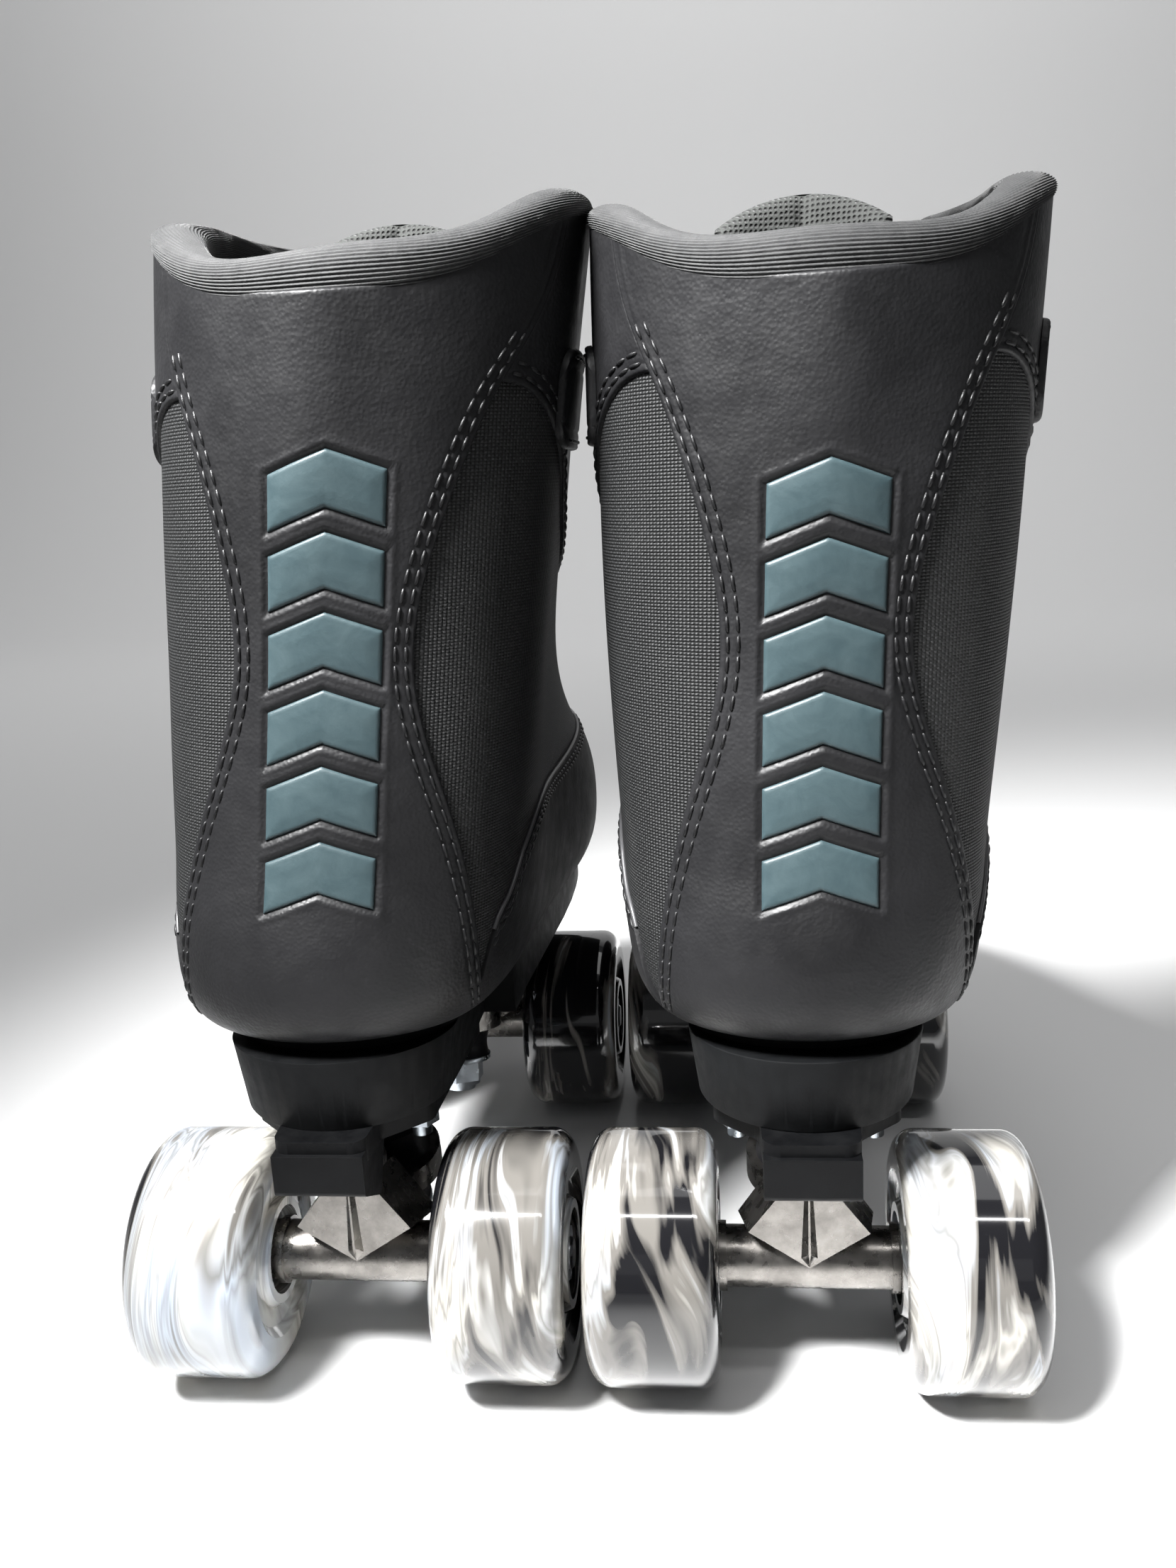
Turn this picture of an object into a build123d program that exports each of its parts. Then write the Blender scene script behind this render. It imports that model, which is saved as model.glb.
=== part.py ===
from build123d import *
import math
import os

# A pair of quad roller skates, in millimetres.
# X is across the pair, Y points to the toes and Z points up from the floor.
# Each skate is modelled about its own plate, with y = 0 at its rear axle, and is then
# set in its place in the pair. "Medial" is the side of the other skate.

# Pair and running gear
WHEELBASE = 150.0
WHEEL_RADIUS = 31.0
WHEEL_WIDTH = 32.0
WHEEL_X = 37.8
BOOT_TOE = 233.0
LEFT_SKATE_X = -57.0
RIGHT_SKATE_X = 55.4
REAR_AXLE_Y = -(BOOT_TOE - WHEEL_RADIUS) / 2

# Lean of each soft boot towards +X at its collar, the height of its collar, how much
# wider its shaft is than the levels below say, and how far its toes turn to the other skate
LEAN = {"left": 17.5, "right": 5.0}
LEAN_POWER = 1.3
COLLAR_LIFT = {"left": 3.0, "right": 0.0}
SHAFT_WIDER = {"left": -1.2, "right": 0.3}
TOE_SWING = {"left": 1.0, "right": 3.0}
MEDIAL = {"left": 1.0, "right": -1.0}

# Bearings, axles and nuts
AXLE_RADIUS = 4.0
BEARING_RADIUS = 11.0
BEARING_BORE = 4.03
BEARING_WIDTH = 7.0
BEARING_STARTS = (-12.0, 2.0)
SEAT_RADIUS = 11.03
SPACER_BORE = 8.5
AXLE_NUT_FLATS = 13.0
AXLE_WASHER = 0.6

# Truck, in its own side view: u is the distance towards the middle of the skate
AXLE_Z = WHEEL_RADIUS
PIVOT_U, PIVOT_Z = -19.0, 67.0
RING_U, RING_Z = 26.0, 43.0
KINGPIN_TILT = math.radians(10)
KINGPIN_RADIUS = 4.9
RING_RADIUS = 14.5
RING_BORE = 6.6
RING_THICKNESS = 7.0
CUSHION_RADIUS = 12.0
UPPER_CUSHION = 11.0
LOWER_CUSHION = 10.0
PIN_RADIUS = 3.9
BALL_RADIUS = 4.0
CUP_BORE = 4.05
CUP_RADIUS = 5.6
HOUSING_HALF = 10.8
BARREL_RADIUS = 7.5
BARREL_HALF = 25.6

# Plate and the bolts that hold it
PLATE_TOP = 77.0
PLATE_THICKNESS = 6.0
BOLT_RADIUS = 2.5
BOLT_END_Z = 63.0
BOLT_HEAD_RADIUS = 4.5
BOLT_NUT_FLATS = 8.0
BOLT_PLACES = [(x, y) for y in (3.0, 40.0, 112.0, 182.0) for x in (-16.5, 16.5)]

# Toe stop
STOP_ANGLE = math.radians(30)
STOP_TOP = (0.0, 193.0, 77.0)
STOP_NECK = 28.0
STEM_START = 9.0
STEM_END_RADIUS = 6.0
STEM_RADIUS = 7.95
STEM_BORE = 8.0
STOP_RADIUS = 19.0
STOP_HEIGHT = 20.0

# Boot: each level is its height at the rear axle, its rear and front ends, and its
# half widths at the heel and at the ball of the foot
BOOT_LEVELS = [
    (97.0, -19.0, 221.0, 30.0, 35.0),
    (99.5, -24.0, 228.0, 35.0, 39.5),
    (104.5, -27.5, 232.0, 38.5, 43.0),
    (113.0, -29.0, BOOT_TOE, 40.5, 44.5),
    (124.0, -28.5, 227.0, 42.0, 44.0),
    (136.0, -26.5, 206.0, 43.0, 42.6),
    (150.0, -25.0, 172.0, 44.3, 42.0),
    (166.0, -24.0, 138.0, 46.0, 42.0),
    (186.0, -23.5, 108.0, 47.5, 43.5),
    (210.0, -24.5, 89.0, 48.5, 45.0),
    (238.0, -26.0, 81.0, 49.0, 45.5),
    (268.0, -27.5, 80.0, 49.5, 46.0),
    (300.0, -28.5, 82.0, 49.5, 46.0),
]
SOLE_Z = BOOT_LEVELS[0][0]
SOLE_TILT = math.radians(3.4)
TILT_ENDS_Z = 150.0
LEAN_STARTS_Z = 105.0
COLLAR_Z = 262.0
SHELL = 3.2
HEEL_RECESS = 3.5
HEEL_SETBACK = 1.5
HEEL_HALF_LOW, HEEL_HALF_HIGH = 25.5, 28.6
HEEL_ARC_Y, HEEL_FRONT_Y = 2.0, 45.6
SOLE_LIP = 2.5
SOLE_OVERREACH = 20.0
TONGUE_OUTER, TONGUE_INNER = 3.9, 9.0
TONGUE_HALF = 27.0
TONGUE_BACK_Y = 50.0
TONGUE_FOOT_Z = 147.0
TONGUE_TOP = 289.0
THROAT_HALF = 13.0
THROAT_START_Z = 152.0
PAD_OUTER, PAD_INNER = 0.6, 10.5
LINING_OUTER, LINING_INNER = 3.6, 9.0
PAD_HEIGHT = 11.0
LINING_DEPTH = 40.0
PAD_GAP_HALF = 31.0
COLLAR_LINE = [(-40.0, 255.0), (-25.0, 257.5), (-11.0, 267.0), (8.0, 274.5), (40.0, 276.5), (95.0, 274.0)]

# Strap
STRAP_LOW_Z, STRAP_HIGH_Z = 229.0, 251.0
STRAP_INNER, STRAP_OUTER = -0.5, -2.0
STRAP_END_Y = 6.0
HINGE_Y = 56.0
HINGE_GAP = 0.4

# Lace and eyelets
EYELET_ROWS = [162.0 + 10.5 * row for row in range(6)]
EYELET_X = 19.0
EYELET_RADIUS = 4.2
EYELET_BARREL = 3.0
EYELET_BORE = 2.1
LACE_RADIUS = 1.6
LACE_STAND = 2.6
LACE_OFFSET = 2.0
LACE_LIFT = 4.2
LACE_CROSSING = 3.6
LACE_PEG = 1.2


def rod(radius, start, direction, length):
    """Round bar from start along direction."""
    place = Plane(origin=start, z_dir=direction)
    return place * Cylinder(radius, length, align=(Align.CENTER, Align.CENTER, Align.MIN))


def tube(outer, inner, start, direction, length):
    """Round tube from start along direction."""
    return rod(outer, start, direction, length) - rod(inner, start, direction, length)


def hexagon(flats, bore, start, direction, length):
    """Hexagon nut with a round bore."""
    face = Plane(origin=start, z_dir=direction) * RegularPolygon(flats / 2, 6, major_radius=False)
    return extrude(face, length) - rod(bore, start, direction, length)


def spun(profile, centre_x, y, z):
    """Solid turned about an axle, from points (distance along the axle, radius)."""
    face = make_face(Plane.XY * Polyline(*profile, close=True))
    return Pos(centre_x, y, z) * revolve(face, Axis.X)


def smooth(value):
    """Ease from 0 to 1 as value goes from 0 to 1."""
    value = min(max(value, 0.0), 1.0)
    return value * value * (3.0 - 2.0 * value)


# ---------------------------------------------------------------- boot surfaces

def lean_at(side, z):
    """Sideways shift of the soft boot at a height."""
    rise = max(z - LEAN_STARTS_Z, 0.0) / (COLLAR_Z - LEAN_STARTS_Z)
    return LEAN[side] * rise ** LEAN_POWER


def level_shift(height, inset):
    """Vertical move of a level on an inset surface: up at the sole, down on the vamp."""
    if height < 118.0:
        return inset * (118.0 - height) / (118.0 - SOLE_Z)
    if height < 140.0:
        return -0.35 * inset * (height - 118.0) / 22.0
    if height < 170.0:
        return -0.35 * inset
    if height > 280.0:
        return 0.5 * inset
    return -0.35 * inset * max(0.0, (210.0 - height) / 40.0)


def boot_outline(side, level, inset):
    """Closed outline of the boot at one level, moved in by inset."""
    height, back, front, rear_half, front_half = level
    back, front = back + inset, front - inset
    wider = SHAFT_WIDER[side] * smooth((height - 130.0) / 70.0) - inset
    rear_half, front_half = rear_half + wider, front_half + wider
    heel_round = 0.92 * rear_half
    toe_round = min(1.45 * front_half, 0.52 * (front - back - heel_round) + 14.0)
    stations = [(back, 0.0)]
    for angle in (30, 60, 90):
        turn = math.radians(angle)
        stations.append((back + heel_round * (1.0 - math.cos(turn)), math.sin(turn)))
    straight_start, straight_end = back + heel_round, front - toe_round
    for part in (0.34, 0.67):
        stations.append((straight_start + part * (straight_end - straight_start), 1.0))
    for angle in (90, 62, 32):
        turn = math.radians(angle)
        stations.append((front - toe_round * (1.0 - math.cos(turn)), math.sin(turn)))
    stations.append((front, 0.0))
    points_right, points_left = [], []
    foot = smooth((170.0 - height) / 50.0)
    z = height + level_shift(height, inset)
    for y, width in stations:
        share = smooth((y - 10.0) / 115.0) if foot > 0 else 0.0
        along = (y - back) / (front - back)
        share = foot * share + (1.0 - foot) * smooth(along)
        half = (rear_half + (front_half - rear_half) * share) * width
        centre = lean_at(side, z) + MEDIAL[side] * TOE_SWING[side] * foot * smooth((y - 60.0) / 150.0)
        points_right.append((centre + half, y))
        points_left.append((centre - half, y))
    loop = points_right + points_left[-2:0:-1]
    tilt = SOLE_TILT * (1.0 - smooth((height - SOLE_Z) / (TILT_ENDS_Z - SOLE_Z)))
    place = Plane(origin=(0, 0, z), x_dir=(1, 0, 0), z_dir=(0, math.sin(tilt), math.cos(tilt)))
    return place * make_face(Spline(*loop, periodic=True))


def boot_body(side, inset):
    """Solid inside the boot's outer surface moved in by inset."""
    return loft([boot_outline(side, level, inset) for level in BOOT_LEVELS])


def side_region(points, lift, ceiling=340.0):
    """Everything above a smooth line drawn in the side view."""
    line = [(y, z + lift) for y, z in points]
    top = Spline(*line)
    sides = Polyline(line[-1], (line[-1][0], ceiling), (line[0][0], ceiling), line[0])
    return extrude(Plane.YZ * make_face([top, sides]), 200.0, both=True)


def leaning_slab(side, half, z_low, z_high, y_low, y_high):
    """Slab about the boot's leaning middle, half wide to each side."""
    middle = (z_low + z_high) / 2
    heights = (z_low, middle, z_high)
    right = [(lean_at(side, z) + half, z) for z in heights]
    left = [(lean_at(side, z) - half, z) for z in reversed(heights)]
    face = Plane.XZ * make_face(Polyline(*right, *left, close=True))
    return Pos(0, y_high, 0) * extrude(face, y_high - y_low)


def sole_plane(lift):
    """Plane of the boot's sole, raised by lift."""
    normal = (0, math.sin(SOLE_TILT), math.cos(SOLE_TILT))
    return Plane(origin=(0, 0, SOLE_Z + lift), x_dir=(1, 0, 0), z_dir=normal)


def sole_height(y):
    """Height of the boot's sole at y."""
    return SOLE_Z - y * math.tan(SOLE_TILT)


# ---------------------------------------------------------------- boot pieces

def eyelet_places(side, outer):
    """Points and outward directions of the eyelets, in rows from the toe up."""
    rows = []
    for z in EYELET_ROWS:
        pair = []
        for sign in (-1.0, 1.0):
            ray = Axis((lean_at(side, z) + sign * EYELET_X, 30.0, z), (0, 1, 0))
            hits = outer.find_intersection_points(ray)
            point, normal = max(hits, key=lambda hit: hit[0].Y)
            pair.append((point, normal if normal.Y > 0 else normal * -1))
        rows.append(pair)
    return rows


def make_upper(side, outer, eyelets):
    """Shell of the boot, open at the collar and at the throat."""
    shell = outer - boot_body(side, SHELL)
    shell -= side_region(COLLAR_LINE, COLLAR_LIFT[side])
    shell -= leaning_slab(side, THROAT_HALF, THROAT_START_Z, 320.0, 50.0, 200.0)
    for pair in eyelets:
        for point, normal in pair:
            shell -= rod(EYELET_BARREL, point - normal * 6.0, normal, 10.0)
    for x, y in BOLT_PLACES:
        shell -= rod(BOLT_HEAD_RADIUS + 0.2, (x, y, sole_height(y) - 2.0), (0, 0, 1), 8.0)
    return shell


def make_eyelets(eyelets):
    """Flanged rings, one for each lace hole."""
    rings = []
    for pair in eyelets:
        for point, normal in pair:
            flange = rod(EYELET_RADIUS, point + normal * 0.1, normal, 0.9)
            barrel = rod(EYELET_BARREL - 0.02, point - normal * 2.8, normal, 3.4)
            rings.append(flange + barrel - rod(EYELET_BORE, point - normal * 4.0, normal, 8.0))
    return Compound(children=rings)


def make_laces(eyelets):
    """Runs of the lace that cross over the throat, and its short lengths in the eyelets."""
    runs = []
    for lower, upper in zip(eyelets[:-1], eyelets[1:]):
        runs.append(lace_run(lower[0], upper[1], 1.0, -1.0, LACE_LIFT))
        runs.append(lace_run(lower[1], upper[0], 1.0, -1.0, LACE_LIFT + LACE_CROSSING))
    runs.append(lace_run(eyelets[0][0], eyelets[0][1], -1.0, -1.0, LACE_LIFT))
    for pair in eyelets:
        for point, normal in pair:
            runs.append(rod(LACE_RADIUS, point - normal * 0.6, normal, LACE_PEG))
    return Compound(children=runs)


def lace_end(eyelet, side):
    """End of a run of lace, moved up or down the boot from its eyelet's middle."""
    point, normal = eyelet
    up_the_boot = (Vector(0, 0, 1) - normal * normal.Z).normalized()
    return point + normal * LACE_STAND + up_the_boot * LACE_OFFSET * side


def lace_run(start, end, start_side, end_side, lift):
    """One bowed run of lace, its ends just above or just below their eyelets' middles."""
    first = lace_end(start, start_side)
    last = lace_end(end, end_side)
    out = (start[1] + end[1]).normalized()
    path = ThreePointArc(first, (first + last) * 0.5 + out * lift, last)
    return sweep(Plane(origin=first, z_dir=path % 0) * Circle(LACE_RADIUS), path)


def make_tongue(side):
    """Padded tongue under the throat, standing above the collar."""
    front = leaning_slab(side, TONGUE_HALF, TONGUE_FOOT_Z, 320.0, TONGUE_BACK_Y, 200.0)
    crown = [(20.0, TONGUE_TOP - 7.0), (60.0, TONGUE_TOP), (80.0, TONGUE_TOP - 2.0), (120.0, TONGUE_TOP - 9.0)]
    tongue = (boot_body(side, TONGUE_OUTER) & front) - side_region(crown, 0.0)
    return tongue - boot_body(side, TONGUE_INNER)


def make_collar(side):
    """Padded roll on the shell's edge with the padding inside the shaft below it."""
    lift = COLLAR_LIFT[side]
    roll = boot_body(side, PAD_OUTER) & side_region(COLLAR_LINE, lift + 0.02)
    roll = roll - side_region(COLLAR_LINE, lift + PAD_HEIGHT) - boot_body(side, PAD_INNER)
    lining = boot_body(side, LINING_OUTER) & side_region(COLLAR_LINE, lift - LINING_DEPTH)
    lining = lining - side_region(COLLAR_LINE, lift + 1.0) - boot_body(side, LINING_INNER)
    opening = leaning_slab(side, PAD_GAP_HALF, 190.0, 330.0, 46.0, 120.0)
    return (roll + lining) - opening


def make_insole(side):
    """Footbed on the floor of the boot."""
    body = boot_body(side, SHELL + 0.4)
    return split(body, sole_plane(SHELL + 5.0), keep=Keep.BOTTOM)


def make_outsole(side):
    """Sole from the waist forward, with a thin set-back layer under the heel."""
    front = sole_prism(side, -SOLE_LIP)
    front = split(front, Plane.XY.offset(PLATE_TOP), keep=Keep.TOP)
    front = split(front, Plane(origin=(0, HEEL_FRONT_Y + 0.4, 0), z_dir=(0, 1, 0)), keep=Keep.TOP)
    layer = sole_prism(side, HEEL_SETBACK)
    layer = split(layer, sole_plane(-HEEL_RECESS), keep=Keep.TOP)
    layer = split(layer, Plane(origin=(0, HEEL_FRONT_Y + 14.0, 0), z_dir=(0, 1, 0)), keep=Keep.BOTTOM)
    return drill_for_bolts(front + layer)


def sole_prism(side, inset):
    """Upright solid with the outline of the boot's sole moved in by inset, up to the sole."""
    outline = boot_outline(side, BOOT_LEVELS[0], inset)
    prism = extrude(Pos(0, 0, -SOLE_Z) * outline, SOLE_Z + SOLE_OVERREACH, dir=(0, 0, 1))
    return split(prism, sole_plane(-0.02), keep=Keep.BOTTOM)


def make_heel_block():
    """D-shaped heel, a little wider at its top."""
    block = loft([heel_outline(HEEL_HALF_LOW, PLATE_TOP), heel_outline(HEEL_HALF_HIGH, SOLE_Z + 3.0)])
    block = split(block, sole_plane(-HEEL_RECESS - 0.02), keep=Keep.BOTTOM)
    return drill_for_bolts(block)


def heel_outline(half, z):
    """D-shaped section of the heel block."""
    sides = Polyline((half, HEEL_ARC_Y), (half, HEEL_FRONT_Y), (-half, HEEL_FRONT_Y), (-half, HEEL_ARC_Y))
    back = ThreePointArc((-half, HEEL_ARC_Y), (0, HEEL_ARC_Y - half), (half, HEEL_ARC_Y))
    return Plane.XY.offset(z) * make_face([sides, back])


def drill_for_bolts(solid):
    """Clearance holes for the plate bolts."""
    for x, y in BOLT_PLACES:
        solid -= rod(BOLT_RADIUS + 0.1, (x, y, 50.0), (0, 0, 1), 80.0)
    return solid


def strap_band(side):
    """Band right round the cuff at the strap's height."""
    band = boot_body(side, STRAP_OUTER) - boot_body(side, STRAP_INNER)
    keep = leaning_slab(side, 90.0, STRAP_LOW_Z, STRAP_HIGH_Z, STRAP_END_Y, 120.0)
    return band & keep


def make_strap(side):
    """Fixed end on the medial side, and the flap over the front to the lateral side."""
    band = strap_band(side)
    inside = MEDIAL[side] * 60.0 + lean_at(side, STRAP_LOW_Z)
    medial_half = Pos(inside, HINGE_Y - HINGE_GAP - 50.0, 240.0) * Box(120.0, 100.0, 60.0)
    medial_all = Pos(inside, HINGE_Y - 50.0, 240.0) * Box(120.0, 100.0, 60.0)
    return band & medial_half, band - medial_all


# ---------------------------------------------------------------- plate and trucks

def truck_point(rear, u, z, x=0.0):
    """Point of a truck's side view, for a rear or a front truck."""
    return Vector(x, u if rear else WHEELBASE - u, z)


def truck_direction(rear, u, z):
    """Direction in a truck's side view."""
    return Vector(0, u if rear else -u, z).normalized()


def steering_direction(rear):
    """From the pivot ball to the middle of the yoke ring."""
    return truck_direction(rear, RING_U - PIVOT_U, RING_Z - PIVOT_Z)


def kingpin_down(rear):
    """Along the kingpin towards its nut, which leans to the middle of the skate."""
    return truck_direction(rear, math.sin(KINGPIN_TILT), -math.cos(KINGPIN_TILT))


def along_kingpin(rear, distance):
    """Point on the kingpin's axis, at a distance below the ring's middle."""
    return truck_point(rear, RING_U, RING_Z) + kingpin_down(rear) * distance


def pivot_housing(rear):
    """Block under the plate that holds the pivot cup."""
    ball = truck_point(rear, PIVOT_U, PIVOT_Z)
    run = steering_direction(rear)
    across = run.cross(Vector(1, 0, 0)).normalized()
    across = across if across.Z > 0 else across * -1
    low_back = ball - run * 8.5 - across * 7.8
    low_front = low_back + run * 14.0
    top_front = low_front + across * ((PLATE_TOP - 3.0 - low_front.Z) / across.Z)
    top_back = Vector(0, low_back.Y, PLATE_TOP - 3.0)
    outline = [(p.Y, p.Z) for p in (low_back, low_front, top_front, top_back)]
    face = Plane.YZ * make_face(Polyline(*outline, close=True))
    block = extrude(face, HOUSING_HALF, both=True)
    return fillet(block.edges().filter_by(Axis.X).sort_by(Axis.Z)[:2], 1.5)


def plate_outline():
    """Plan of the plate: heel, narrow waist, forefoot and toe stop nose."""
    half = [(10.8, -29), (11.5, -16), (22, -6), (24, 46), (14, 64), (14, 88), (25, 104), (25, 190), (15, 207), (10, 214)]
    right = [(float(x), float(y)) for x, y in half]
    left = [(-x, y) for x, y in reversed(right)]
    face = make_face(Polyline(*right, *left, close=True))
    return fillet(face.vertices(), 4.0)


def make_plate():
    """Moulded plate with pivot housings, kingpin bosses, a keel and a toe stop boss."""
    low = PLATE_TOP - PLATE_THICKNESS
    plate = extrude(Plane.XY.offset(low) * plate_outline(), PLATE_THICKNESS)
    keel = Pos(0, WHEELBASE / 2, low - 4.0) * Box(16.0, WHEELBASE - 56.0, 9.0)
    plate += fillet(keel.edges().filter_by(Axis.Y).sort_by(Axis.Z)[:2], 2.0)
    for sign in (-1.0, 1.0):
        plate += Pos(sign * 11.5, WHEELBASE / 2, low - 1.0) * Box(3.0, 60.0, 4.0)
    boss_start = RING_THICKNESS / 2 + UPPER_CUSHION + 0.1
    for rear in (True, False):
        plate += pivot_housing(rear)
        top = along_kingpin(rear, -boss_start)
        plate += rod(13.0, top, kingpin_down(rear) * -1, (PLATE_TOP - 2.0 - top.Z) / math.cos(KINGPIN_TILT))
    stop_axis = stop_direction()
    plate += rod(13.0, Vector(*STOP_TOP) - stop_axis * 2.0, stop_axis, 18.0)
    plate = split(plate, Plane.XY.offset(PLATE_TOP), keep=Keep.BOTTOM)
    for rear in (True, False):
        run = steering_direction(rear)
        ball = truck_point(rear, PIVOT_U, PIVOT_Z)
        plate -= rod(CUP_RADIUS, ball - run * 5.5, run, 16.0)
        plate -= rod(KINGPIN_RADIUS + 0.05, along_kingpin(rear, -60.0), kingpin_down(rear), 80.0)
        head = along_kingpin(rear, -kingpin_head_distance())
        plate -= rod(9.4, head, kingpin_down(rear) * -1, 20.0)
    plate -= rod(STEM_BORE, Vector(*STOP_TOP) - stop_axis * 20.0, stop_axis, 60.0)
    return drill_for_bolts(plate)


def kingpin_head_distance():
    """Distance above the ring's middle where the kingpin's head sits in the plate."""
    return (PLATE_TOP - 7.0 - RING_Z) / math.cos(KINGPIN_TILT)


def make_mounting_hardware():
    """Plate bolts with their nuts, and the toe stop's lock nut."""
    pieces = []
    for x, y in BOLT_PLACES:
        head_z = sole_height(y) + 0.02 + abs(math.tan(SOLE_TILT)) * BOLT_HEAD_RADIUS
        bolt = rod(BOLT_RADIUS, (x, y, BOLT_END_Z), (0, 0, 1), head_z - BOLT_END_Z + 1.0)
        bolt += rod(BOLT_HEAD_RADIUS, (x, y, head_z), (0, 0, 1), 2.0)
        nut_top = PLATE_TOP - PLATE_THICKNESS
        washer = rod(4.6, (x, y, nut_top - 0.8), (0, 0, 1), 0.78)
        nut = hexagon(BOLT_NUT_FLATS, BOLT_RADIUS, (x, y, nut_top - 4.8), (0, 0, 1), 4.0)
        pieces.append(bolt + washer + nut)
    stop_axis = stop_direction()
    start = Vector(*STOP_TOP) + stop_axis * 16.1
    pieces.append(hexagon(22.0, STEM_BORE, start, stop_axis, 5.0))
    return Compound(children=pieces)


def stop_direction():
    """Along the toe stop's stem, down and forward."""
    return Vector(0, math.sin(STOP_ANGLE), -math.cos(STOP_ANGLE))


def make_toe_stop():
    """Rubber block with a rounded edge, and the stem that screws into the plate."""
    axis = stop_direction()
    top = Vector(*STOP_TOP)
    neck = top + axis * STOP_NECK
    rubber = rod(STOP_RADIUS, neck, axis, STOP_HEIGHT)
    rubber = fillet(rubber.edges(), 3.0)
    rubber -= rod(STEM_END_RADIUS, neck - axis, axis, 13.0)
    stem = rod(STEM_RADIUS, top + axis * STEM_START, axis, STOP_NECK - STEM_START - 0.05)
    stem += rod(STEM_END_RADIUS - 0.05, neck - axis, axis, 12.9)
    key_socket = rod(3.0, top, axis, STEM_START + 6.0)
    return rubber, stem - key_socket


def make_pivot_cups():
    """Plastic cups that the pivot balls turn in."""
    cups = []
    for rear in (True, False):
        run = steering_direction(rear)
        ball = truck_point(rear, PIVOT_U, PIVOT_Z)
        cup = rod(CUP_RADIUS - 0.02, ball - run * 5.45, run, 10.9)
        cup -= Pos(*ball) * Sphere(CUP_BORE)
        cup -= rod(CUP_BORE, ball, run, 20.0)
        cups.append(cup)
    return Compound(children=cups)


def make_kingpins():
    """Kingpin bolts with their heads in the plate, retainer washers and lock nuts."""
    parts = []
    for rear in (True, False):
        down = kingpin_down(rear)
        top = kingpin_head_distance()
        washer_at = RING_THICKNESS / 2 + LOWER_CUSHION + 0.12
        end = washer_at + 12.0
        pin = rod(KINGPIN_RADIUS, along_kingpin(rear, -top), down, top + end)
        pin += hexagon(14.0, 1.0, along_kingpin(rear, -top - 5.0), down, 5.0)
        pin += rod(1.2, along_kingpin(rear, -top - 5.0), down, 5.0)
        pin += tube(10.5, KINGPIN_RADIUS - 0.5, along_kingpin(rear, washer_at), down, 1.6)
        nut = hexagon(14.0, KINGPIN_RADIUS - 0.5, along_kingpin(rear, washer_at + 1.6), down, 7.0)
        collar = tube(6.6, KINGPIN_RADIUS - 0.5, along_kingpin(rear, washer_at + 8.6), down, 1.6)
        parts.append(pin + nut + collar)
    return Compound(children=parts)


def cushion(rear, start, length, start_radius, end_radius):
    """Urethane cushion round the kingpin, waisted in the middle of its height."""
    down = kingpin_down(rear)
    bore = KINGPIN_RADIUS + 0.05
    waist = (start_radius + end_radius) / 2 - 1.2
    outline = Polyline((start_radius, length - 0.04), (bore, length - 0.04), (bore, 0.04), (end_radius, 0.04))
    side_line = Spline((end_radius, 0.04), (waist, length / 2), (start_radius, length - 0.04))
    place = Plane(origin=along_kingpin(rear, start + length), z_dir=down * -1)
    return place * revolve(Plane.XZ * make_face([outline, side_line]), Axis.Z)


def make_cushions(rear):
    """Upper and lower cushions of one truck."""
    gap = RING_THICKNESS / 2
    upper = cushion(rear, -gap - UPPER_CUSHION - 0.05, UPPER_CUSHION, CUSHION_RADIUS, CUSHION_RADIUS)
    lower = cushion(rear, gap + 0.05, LOWER_CUSHION, CUSHION_RADIUS - 0.5, CUSHION_RADIUS - 2.0)
    return Compound(children=[upper, lower])


def make_hanger(rear):
    """Cast hanger: axle barrel, faceted web, pivot pin with its ball, and yoke ring."""
    y = truck_point(rear, 0, 0).Y
    hanger = rod(BARREL_RADIUS, (-BARREL_HALF, y, AXLE_Z), (1, 0, 0), 2 * BARREL_HALF)
    for sign in (-1.0, 1.0):
        hanger += rod(BARREL_RADIUS + 0.9, (sign * 21.0 - 1.0, y, AXLE_Z), (1, 0, 0), 2.0)
    outer_face = [(0, 33.5), (14.5, 43.0), (4.5, 56.0), (-4.5, 56.0), (-14.5, 43.0)]
    inner_face = [(0, 27.0), (17.0, 38.0), (6.5, 53.0), (-6.5, 53.0), (-17.0, 38.0)]
    hanger += loft([hanger_face(rear, outer_face, -9.0), hanger_face(rear, inner_face, 9.0)], ruled=True)
    ridge = [(-2.2, 36.0), (0, 33.4), (2.2, 36.0), (1.0, 56.0), (-1.0, 56.0)]
    tip = [(-0.3, 38.0), (0, 36.0), (0.3, 38.0), (0.2, 53.0), (-0.2, 53.0)]
    hanger += loft([hanger_face(rear, tip, -10.4), hanger_face(rear, ridge, -8.8)], ruled=True)
    arm = truck_point(rear, 13.0, 39.5)
    hanger += Pos(*arm) * Box(20.0, 14.0, 10.0)
    ring_top = along_kingpin(rear, -RING_THICKNESS / 2)
    hanger += rod(RING_RADIUS, ring_top, kingpin_down(rear), RING_THICKNESS)
    run = steering_direction(rear)
    ball = truck_point(rear, PIVOT_U, PIVOT_Z)
    hanger += rod(PIN_RADIUS, ball, run, 29.0)
    hanger += Pos(*ball) * Sphere(BALL_RADIUS)
    hanger += rod(6.0, ball + run * 15.0, run, 12.0)
    hanger -= rod(RING_BORE, along_kingpin(rear, -20.0), kingpin_down(rear), 40.0)
    for gap in (-RING_THICKNESS / 2 - 14.0, RING_THICKNESS / 2):
        hanger -= rod(CUSHION_RADIUS + 1.2, along_kingpin(rear, gap), kingpin_down(rear), 14.0)
    hanger -= rod(AXLE_RADIUS, (-60, y, AXLE_Z), (1, 0, 0), 120.0)
    return hanger


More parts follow.
